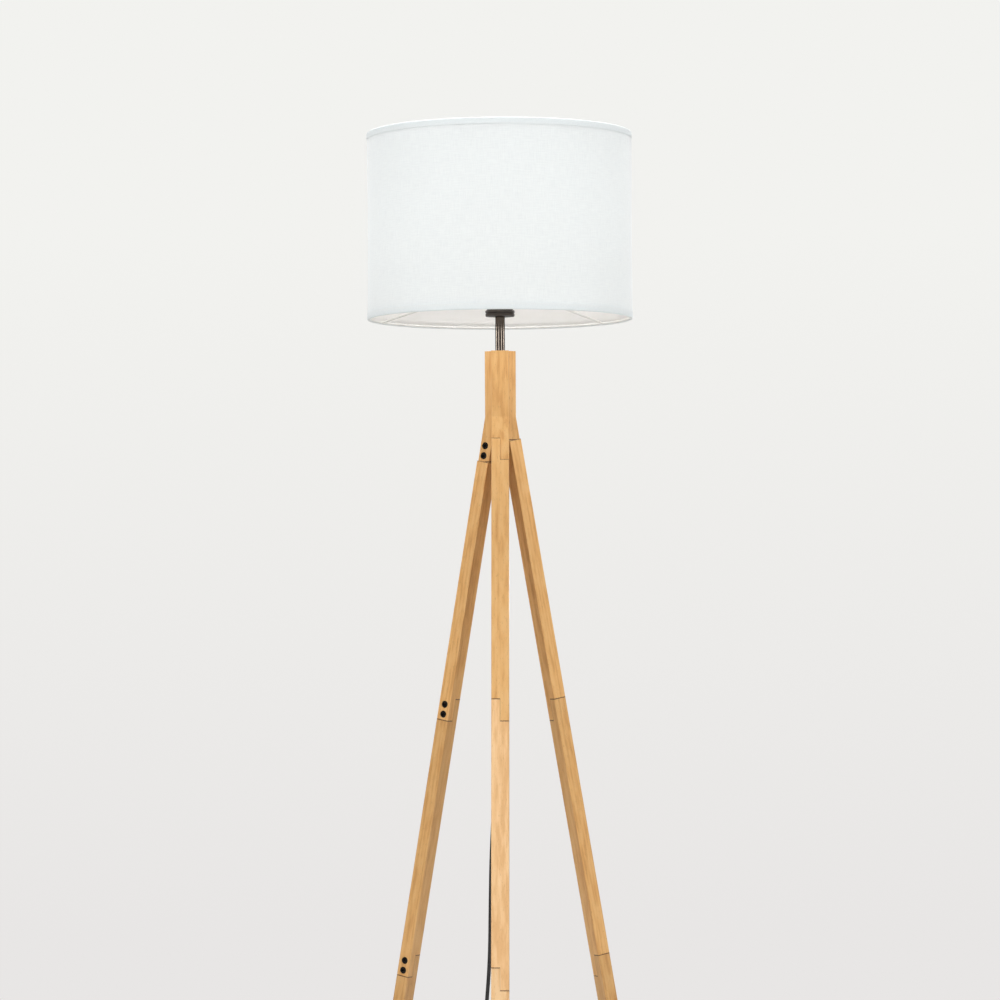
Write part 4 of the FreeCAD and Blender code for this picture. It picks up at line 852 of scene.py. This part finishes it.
@dataclass
class StemAndHolder:
    """Stem, plate and lampholder, with a fluted clamp ring and a drawn thread."""

    flutes: int = 36
    flute_depth: float = 0.55 * MM
    edge: float = 0.9 * MM
    turn_gap: float = 0.2 * MM
    thread_pitch: float = 3.0 * MM
    thread_rise: float = 0.38 * MM
    thread_half: float = 0.95 * MM
    thread_end: float = 1.6 * MM
    rib_pitch: float = 3.4 * MM
    rib_rise: float = 0.34 * MM
    plug_radius: float = 3.47 * MM  # the relief's end that plugs into the threaded tube

    def __post_init__(self) -> None:
        """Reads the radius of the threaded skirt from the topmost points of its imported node."""
        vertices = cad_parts["holder_body"].data.vertices
        points = np.empty(3 * len(vertices), np.float32)
        vertices.foreach_get("co", points)
        points = points.reshape(-1, 3)
        rim = points[points[:, 2] > points[:, 2].max() - 0.1 * MM]
        self.skirt = float(np.hypot(rim[:, 0], rim[:, 1]).max())

    def clamp_ring(self) -> None:
        """Makes the shade's clamp ring: its outer wall is scalloped, so the radius falls by a sine."""
        low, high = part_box("shade_clamp_ring")
        outer, bottom, top = high.x, low.z, high.z
        inner = self.skirt + self.turn_gap
        flat = inner + 0.4 * (outer - inner)
        rise = np.linspace(bottom + self.edge, top - self.edge, 5)
        profile = np.vstack([
            [(inner, bottom), (flat, bottom), (outer - self.edge, bottom)],
            np.column_stack([np.full(5, outer), rise]),
            [(outer - self.edge, top), (flat, top), (inner, top)],
        ])

        def scallop(angle: Array, height: Array) -> Array:
            """Depth times the square of a half-rate sine, on the outer wall only."""
            wall = (height > bottom + 0.5 * self.edge) & (height < top - 0.5 * self.edge)
            return -self.flute_depth * wall * np.sin(self.flutes * angle / 2) ** 2

        ring = carried_round("clamp_ring_fluted", profile, self.flutes * 10, scallop)
        settle(ring, Body.CLAMP_RING, MOULDED_PHENOLIC, "holder_plastic", "shade_clamp_ring")

    def skirt_thread(self) -> None:
        """Winds a rounded ridge up the skirt above the clamp ring, fading out at both ends.

        A small oval is carried along a helix: its cosine adds to the radius, its sine to the height.
        """
        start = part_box("shade_clamp_ring")[1].z + self.thread_end
        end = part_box("holder_body")[1].z - self.thread_end
        turns = (end - start) / self.thread_pitch
        angle = np.linspace(0.0, turns * TURN, int(turns * 72))[:, None]
        fade = smooth_step(angle / 0.5) * smooth_step((turns * TURN - angle) / 0.5)
        around = np.arange(10)[None, :] * TURN / 10
        sunk = 0.15 * MM
        radius = self.skirt - sunk + fade * (self.thread_rise + sunk) * np.cos(around)
        height = start + angle * self.thread_pitch / TURN + fade * self.thread_half * np.sin(around)
        points = np.stack([radius * np.cos(angle), radius * np.sin(angle), height], axis=-1)
        lengths = (angle[:, 0] * self.skirt, np.arange(11) * 0.3 * MM)
        thread = grid_piece("holder_skirt_thread", points, lengths, (False, True))
        settle(thread, Body.STAND, MOULDED_PHENOLIC, "holder_plastic")

    def strain_relief(self) -> bpy.types.Object:
        """Makes the tapered relief below the hub: a straight taper with rounded ribs on it.

        Returns:
            The finished relief.
        """
        low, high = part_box("cord_relief")
        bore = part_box("cord_in_stem")[1].x + 0.03 * MM
        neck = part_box("threaded_tube")[0].z
        shoulder = neck - 2 * MM
        tip, root = bore + 0.9 * MM, high.x - 0.4 * MM
        height = np.linspace(low.z, shoulder, 70)
        share = (height - low.z) / (shoulder - low.z)
        ribs = self.rib_rise * np.sin((height - low.z) * math.pi / self.rib_pitch) ** 2
        taper = tip + (root - tip) * share + ribs * smooth_step((share - 0.05) * 8)
        profile = np.vstack([
            np.column_stack([taper, height]),
            [(high.x, shoulder), (high.x, neck), (self.plug_radius, neck), (self.plug_radius, high.z),
             (bore, high.z), (bore, low.z)],
        ])
        relief = carried_round("strain_relief_ribbed", profile, 48)
        return settle(relief, Body.STAND, MOULDED_NYLON, "switch_plastic", "cord_relief")

    def build(self) -> bpy.types.Object:
        """Builds and dresses the parts from the hub's nut to the lampholder.

        Returns:
            The strain relief, which goes with the cord.
        """
        refinish(BLACK_NICKEL_POLISHED, "stem_tube")
        refinish(GUNMETAL_SATIN, "holder_plate")
        refinish(ZINC_PLATE, "threaded_tube", "stem_washer", "holder_lock_screw")
        refinish(MOULDED_PHENOLIC, "holder_base", "holder_body")
        refinish(GLAZED_PORCELAIN, "holder_insert")
        refinish(TURNED_BRASS, "stem_nut", "holder_shell", "holder_strap",
                 "holder_centre_contact", "terminal_screws")
        refinish(CORE_SLEEVE, "holder_wires")
        refinish(CORD_PVC, "cord_in_stem")
        self.clamp_ring()
        self.skirt_thread()
        return self.strain_relief()


# ------------------------------------------------------------------ shade


@dataclass
class DrumShade:
    """Cotton on a stiff lining, stretched between two wire rings, with taped hems."""

    segments: int = 360
    rows: int = 26
    bow: float = 0.5 * MM
    seam_at: float = 0.5 * math.pi
    seam_lap: float = 12.0 * MM
    seam_rise: float = 0.5 * MM
    tape: float = 0.35 * MM
    tape_band: float = 9.0 * MM
    ripple: float = 0.07 * MM

    def __post_init__(self) -> None:
        """Reads the cover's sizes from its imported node."""
        low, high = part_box("shade_cover")
        ring_low, ring_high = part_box("shade_ring_top")
        self.radius, self.bottom, self.top = high.x, low.z, high.z
        self.wall = self.radius - (ring_high.x + 0.03 * MM)
        self.wire = 0.5 * (ring_high.z - ring_low.z)
        self.ring_radius = ring_high.x - self.wire

    def swell(self, angle: Array, height: Array) -> Array:
        """How far the cover stands off its true cylinder.

        It bows inwards between the rings as a parabola, wanders by slow sines, and is thicker along
        the back seam: a step at the cut edge of the lap that eases away over the lap's width.

        Args:
            angle: Azimuths.
            height: Heights.

        Returns:
            What is added to the radius.
        """
        share = (height - self.bottom) / (self.top - self.bottom)
        free = np.clip(4.0 * share * (1.0 - share), 0.0, 1.0)
        wander = 0.22 * MM * np.sin(3 * angle + 0.6) + 0.14 * MM * np.sin(7 * angle + 2.1 * share)
        off_seam = (np.mod(angle - self.seam_at + math.pi, TURN) - math.pi) * self.radius
        lap = smooth_step((off_seam + 0.4 * self.seam_lap) / self.seam_lap) * (
            off_seam < 0.5 * self.seam_lap)
        return free * (wander - self.bow) + self.seam_rise * lap

    def cover(self) -> bpy.types.Object:
        """Makes the cloth and its lining: a thin upright loop carried round the axis.

        Returns:
            The finished cover.
        """
        height = np.linspace(self.bottom, self.top, self.rows)
        inner = self.radius - self.wall
        profile = np.vstack([
            np.column_stack([np.full(self.rows, self.radius), height]),
            np.column_stack([np.full(self.rows, inner), height[::-1]]),
        ])
        cloth = carried_round("shade_cloth", profile, self.segments, self.swell)
        settle(cloth, Body.SHADE, SHADE_COTTON, "shade_fabric", "shade_cover")
        cloth.data.materials.append(SHADE_LINING.material())
        faces = len(cloth.data.polygons)
        centre, normal = np.empty(faces * 3, np.float32), np.empty(faces * 3, np.float32)
        cloth.data.polygons.foreach_get("center", centre)
        cloth.data.polygons.foreach_get("normal", normal)
        centre, normal = centre.reshape(-1, 3), normal.reshape(-1, 3)
        facing_in = (centre[:, :2] * normal[:, :2]).sum(axis=1) < 0
        cloth.data.polygons.foreach_set("material_index", facing_in.astype(np.int32))
        return cloth

    def hem(self, name: str, node: str, edge: float, inward: float) -> bpy.types.Object:
        """Folds a tape round the cover's edge and under the wire ring.

        Its middle line starts at the top of the outer band, goes straight down it, turns under the
        cover on a small arc, and follows the underside of the wire round to its inner side. The tape
        is that line given its thickness to both sides, carried round the axis.

        Args:
            name: The piece's name.
            node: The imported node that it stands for.
            edge: Height of the tape's outer edge.
            inward: 1 where the shade lies above this edge, -1 where it lies below.

        Returns:
            The finished tape.
        """
        half, fold = 0.5 * self.tape, 1.1 * MM
        outside = self.radius + half + 0.02 * MM
        band = np.column_stack([np.full(6, outside), np.linspace(self.tape_band, fold + half, 6)])
        quarter = np.linspace(0.0, 0.5 * math.pi, 6)[1:]
        turn = np.column_stack([outside - fold * (1.0 - np.cos(quarter)),
                                half + fold * (1.0 - np.sin(quarter))])
        wire_up = self.tape + 0.03 * MM + self.wire
        hug = np.radians(np.linspace(-90.0, -150.0, 6))
        reach = wire_up - half
        under = np.column_stack([self.ring_radius + reach * np.cos(hug), wire_up + reach * np.sin(hug)])
        line = np.vstack([band, turn, under])
        across = half * beside(line)
        profile = np.vstack([line - across, (line + across)[::-1]])
        profile[:, 1] = edge + inward * profile[:, 1]
        middle = edge + inward * self.tape_band

        def pucker(angle: Array, height: Array) -> Array:
            """Adds a fine ripple, from glue and folding, to the cover's own swell at the hem.

            Args:
                angle: Azimuths.
                height: Heights.

            Returns:
                What is added to the radius.
            """
            own = self.swell(angle, np.full_like(height, middle))
            fade = smooth_step(np.abs(height - edge) / self.tape_band)
            fine = np.sin(97 * angle) + 0.6 * np.sin(151 * angle + 1.0) + 0.5 * np.sin(41 * angle + 2.0)
            return own * fade + self.ripple * (0.35 + 0.65 * fade) * fine / 2.1

        tape = carried_round(name, profile, 2 * self.segments, pucker)
        return settle(tape, Body.SHADE, BIAS_TAPE, "hem_tape", node)

    def build(self) -> None:
        """Builds the cover and both hems, and dresses the wires."""
        cloth = self.cover()
        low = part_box("shade_hem_bottom")[0].z
        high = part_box("shade_hem_top")[1].z
        hems = [self.hem("shade_hem_tape_lower", "shade_hem_bottom", low, 1.0),
                self.hem("shade_hem_tape_upper", "shade_hem_top", high, -1.0)]
        refinish(POWDER_COAT, "shade_ring_top", "shade_spider")


# ------------------------------------------------------------------ bulb


@dataclass
class ScrewBulb:
    """The frosted screw-cap bulb."""

    def build(self) -> None:
        """Dresses the bulb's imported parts."""
        refinish(FROSTED_GLOBE, "bulb_globe")
        refinish(WHITE_HOUSING, "bulb_housing")
        refinish(MILLED_ALUMINIUM, "bulb_board")
        refinish(NICKEL_PLATE, "bulb_cap")
        refinish(MOULDED_PHENOLIC, "bulb_insulator")
        refinish(TURNED_BRASS, "bulb_contact")


# ------------------------------------------------------------------ cord, switch and plug


@dataclass
class CordSet:
    """The cord from the hub to the foot switch, and on through a tied coil to the plug."""

    diameter: float = 5.4 * MM
    press: float = 3.0 * MM
    spring_wire: float = 0.9 * MM
    spring_turns: float = 6.0
    points_per_turn: int = 16
    turns: float = 4.0
    tie_thick: float = 1.0 * MM
    tie_width: float = 12.0 * MM
    tie_room: float = 1.1 * MM
    tie_facing: float = -150.0
    # how far out, how far back, and how far below the hub's exit the hanging cord is
    fall: tuple[tuple[float, float, float], ...] = (
        (0.0, 0.0, 0.0), (0.0, 0.0, 0.060), (0.0002, 0.0016, 0.135), (-0.0016, 0.0026, 0.215),
        (-0.0030, 0.0050, 0.296), (-0.0066, 0.0054, 0.376), (-0.0084, 0.0080, 0.455),
        (-0.0116, 0.0082, 0.535), (-0.0166, 0.0104, 0.612), (-0.0184, 0.0108, 0.690),
        (-0.0196, 0.0132, 0.768), (-0.0256, 0.0136, 0.844), (-0.0310, 0.0116, 0.918),
        (-0.0405, 0.0134, 0.988),
    )
    # from the end of the fall over the floor and back into the switch
    lie: tuple[tuple[float, float, float], ...] = (
        (-0.0506, 0.0130, 0.1180), (-0.0620, 0.0136, 0.0620), (-0.0765, 0.0132, 0.0240),
        (-0.0990, 0.0175, 0.0052), (-0.1260, 0.0275, 0.0028), (-0.1430, 0.0465, 0.0028),
        (-0.1475, 0.0710, 0.0028), (-0.1370, 0.0935, 0.0028), (-0.1165, 0.1060, 0.0034),
        (-0.0900, 0.1074, 0.0052), (-0.0670, 0.1080, 0.0070), (-0.0510, 0.1080, 0.0070),
    )
    link: tuple[tuple[float, float, float], ...] = (
        (0.0350, 0.1080, 0.0070), (0.0490, 0.1080, 0.0070), (0.0630, 0.1048, 0.0052),
        (0.0785, 0.0950, 0.0036), (0.0880, 0.0800, 0.0033), (0.0976, 0.0540, 0.0037),
        (0.0972, 0.0320, 0.0037), (0.0974, 0.0120, 0.0037),
    )
    tail: tuple[tuple[float, float, float], ...] = (
        (0.0949, -0.0190, 0.0086), (0.0956, -0.0360, 0.0052), (0.0926, -0.0520, 0.0028),
        (0.0855, -0.0695, 0.0028), (0.0740, -0.0845, 0.0030), (0.0605, -0.0965, 0.0048),
        (0.0457, -0.1025, 0.0068), (0.0258, -0.1007, 0.0068),
    )

    def __post_init__(self) -> None:
        """Reads the coil's middle and the cord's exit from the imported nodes."""
        low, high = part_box("cord_coil")
        self.coil_centre = 0.5 * (low + high)
        self.coil_outer = 0.5 * (high.x - low.x)
        self.coil_bottom = low.z
        self.exit = Vector((0.0, 0.0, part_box("cord_relief")[0].z))

    def coil(self) -> Array:
        """Works out the coil's control points, wound clockwise from its outside to the top.

        Three turns lie on the floor side, each stepping one diameter inwards at its end; the cord
        then climbs and lies in the grooves above them. Radius and height are straight runs between
        the stated turns. A curve of this kind runs inside its points, so they stand further out by
        the share that it loses at so many points a turn.

        Returns:
            Points by three, in metres.
        """
        d, outer = self.diameter, self.coil_outer - 0.5 * self.diameter
        low = self.coil_bottom + 0.5 * d
        groove, high = low + 0.91 * d, low + 1.02 * d
        turn = np.arange(0.0, self.turns + 0.5 / self.points_per_turn, 1.0 / self.points_per_turn)
        radius = np.interp(turn, [0.78, 1.0, 1.78, 2.0, 2.62, 2.72, 3.45, 3.70], [
            outer, outer - d, outer - d, outer - 2 * d, outer - 2 * d, outer - 1.5 * d, outer - 1.5 * d,
            outer - 0.5 * d])
        height = np.interp(turn, [2.5, 2.62, 3.08, 3.16, 3.40, 3.50], [
            low, high, high, groove, groove, high])
        loses = 0.75 + 0.25 * math.cos(TURN / self.points_per_turn)
        angle = -TURN * turn
        return np.column_stack([
            self.coil_centre.x + radius / loses * np.cos(angle),
            self.coil_centre.y + radius / loses * np.sin(angle), height])

    def lay(self, name: str, points: Array, *nodes: str) -> bpy.types.Object:
        """Lays a cord along one smooth curve with the given control points.

        Args:
            name: The piece's name.
            points: Control points, in metres.
            *nodes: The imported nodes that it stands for.

        Returns:
            The curve, finished and riding on the stand.
        """
        curve = bpy.data.curves.new(name, "CURVE")
        curve.dimensions = "3D"
        curve.bevel_depth = 0.5 * self.diameter
        curve.bevel_resolution = 5
        curve.resolution_u = 6
        curve.use_fill_caps = True
        spline = curve.splines.new("NURBS")
        spline.points.add(len(points) - 1)
        spline.points.foreach_set("co", np.column_stack([points, np.ones(len(points))]).ravel())
        spline.order_u = 3
        spline.use_endpoint_u = True
        piece = bpy.data.objects.new(name, curve)
        bpy.context.scene.collection.objects.link(piece)
        return settle(piece, Body.STAND, CORD_PVC, "cord_jacket", *nodes)

    def tie(self) -> bpy.types.Object:
        """Straps the coil with a thin band carried round a squared oval.

        The oval's half axes times the square roots of a sine and a cosine keep its sides flat and
        its corners round. The band's end laps over the top, one thickness higher.

        Returns:
            The finished strap.
        """
        low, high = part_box("coil_tie")
        thick = self.tie_thick
        inner = self.coil_outer - 3 * self.diameter - self.tie_room - 0.5 * thick
        outer = self.coil_outer + 0.1 * MM + 0.5 * thick
        half_out, half_up = 0.5 * (outer - inner), 0.5 * (high.z - low.z - thick)
        start, steps, easing = -0.35 * math.pi, 110, 0.5
        around = np.linspace(start, start + TURN + 0.9, steps)
        lap = smooth_step((around - (start + TURN - easing)) / easing) * 1.05 * thick
        sine, cosine = np.sin(around), np.cos(around)
        line = np.column_stack([
            0.5 * (inner + outer) - (half_out + 0.4 * lap) * np.sign(sine) * np.sqrt(np.abs(sine)),
            low.z + 0.5 * thick + half_up + (half_up + lap) * np.sign(cosine) * np.sqrt(np.abs(cosine)),
        ])
        run = along(line, False)
        even = np.linspace(0.0, run[-1], steps)
        line = np.column_stack([np.interp(even, run, line[:, k]) for k in range(2)])
        # the band's section, in widths across and thicknesses up, with narrow strips at its edges
        section = np.array([(-0.5, -0.5), (-0.5, 0.5), (-0.46, 0.5), (0.46, 0.5), (0.5, 0.5), (0.5, -0.5),
                            (0.46, -0.5), (-0.46, -0.5)])
        flat = line[:, None] + beside(line)[:, None] * (section[None, :, 1:] * thick)
        facing = math.radians(self.tie_facing)
        out = np.array([math.cos(facing), math.sin(facing)])
        across = section[None, :, :1] * self.tie_width * np.array([-out[1], out[0]])
        plan = np.array(self.coil_centre)[:2] + flat[..., :1] * out + across
        points = np.concatenate([plan, flat[..., 1:]], axis=-1)
        lengths = (along(line, False), np.arange(len(section) + 1) * 3.2 * MM)
        strap = grid_piece("coil_tie_strap", points, lengths, (False, True), capped=True)
        return settle(strap, Body.STAND, HOOK_AND_LOOP, "tie_fabric", "coil_tie")

    def spring(self) -> bpy.types.Object:
        """Winds the button's spring: a wire on a helix, its ends ground to points.

        The helix rises evenly from the lowest to the highest wire, and the wire's circle is carried
        along it, shrinking to nothing over the last steps at each end. The real spring shortens as
        the button goes down.

        Returns:
            The finished spring.
        """
        low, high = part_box("switch_spring")
        wire, free, sides = 0.5 * self.spring_wire, high.z - low.z, 8
        angle = np.linspace(0.0, self.spring_turns * TURN, int(self.spring_turns * 40) + 1)[:, None]
        share = angle / angle.max()
        round_it = np.arange(sides)[None, :] * TURN / sides
        thin = wire * np.minimum(np.minimum(share, 1.0 - share) * 60.0, 1.0)
        radius = 0.5 * (high.x - low.x) - wire + thin * np.cos(round_it)
        height = low.z + wire + (free - 2 * wire) * share + thin * np.sin(round_it)
        centre = 0.5 * (low + high)
        points = np.stack([centre.x + radius * np.cos(angle), centre.y + radius * np.sin(angle), height],
                          axis=-1)
        lengths = (angle[:, 0] * 5.0 * MM, np.arange(sides + 1) * 0.35 * MM)
        spring = grid_piece("switch_return_spring", points, lengths, (False, True))
        settle(spring, Body.STAND, ZINC_PLATE, "zinc_steel", "switch_spring")
        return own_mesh(spring)

    def build(self, relief: bpy.types.Object) -> None:
        """Lays both cords, ties the coil, and dresses the switch and the plug.

        Args:
            relief: The strain relief at the hub; not used.
        """
        fall = np.array(self.fall) * (1.0, 1.0, -1.0) + np.array(self.exit)
        first = self.lay("cord_to_switch", np.vstack([fall, self.lie]), "cord_drop")
        second = self.lay("cord_to_plug", np.vstack([self.link, self.coil(), self.tail]),
                          "cord_link", "cord_coil", "cord_tail")
        strap = self.tie()
        self.spring()
        refinish(MOULDED_NYLON, "switch_base", "switch_cover", "switch_button", "plug_body")
        refinish(ZINC_PLATE, "switch_screws")
        refinish(TURNED_BRASS, "switch_contacts")
        refinish(NICKEL_PLATE, "plug_pins")


def main() -> None:
    """Sets the stage and the cord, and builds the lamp."""
    logging.basicConfig(level=logging.INFO, format="%(message)s")
    Studio().build()
    holder = StemAndHolder()
    relief = holder.build()
    CordSet().build(relief)
    TimberStand().build()
    DrumShade().build()
    ScrewBulb().build()
    bpy.context.view_layer.update()


if __name__ == "__main__":
    main()
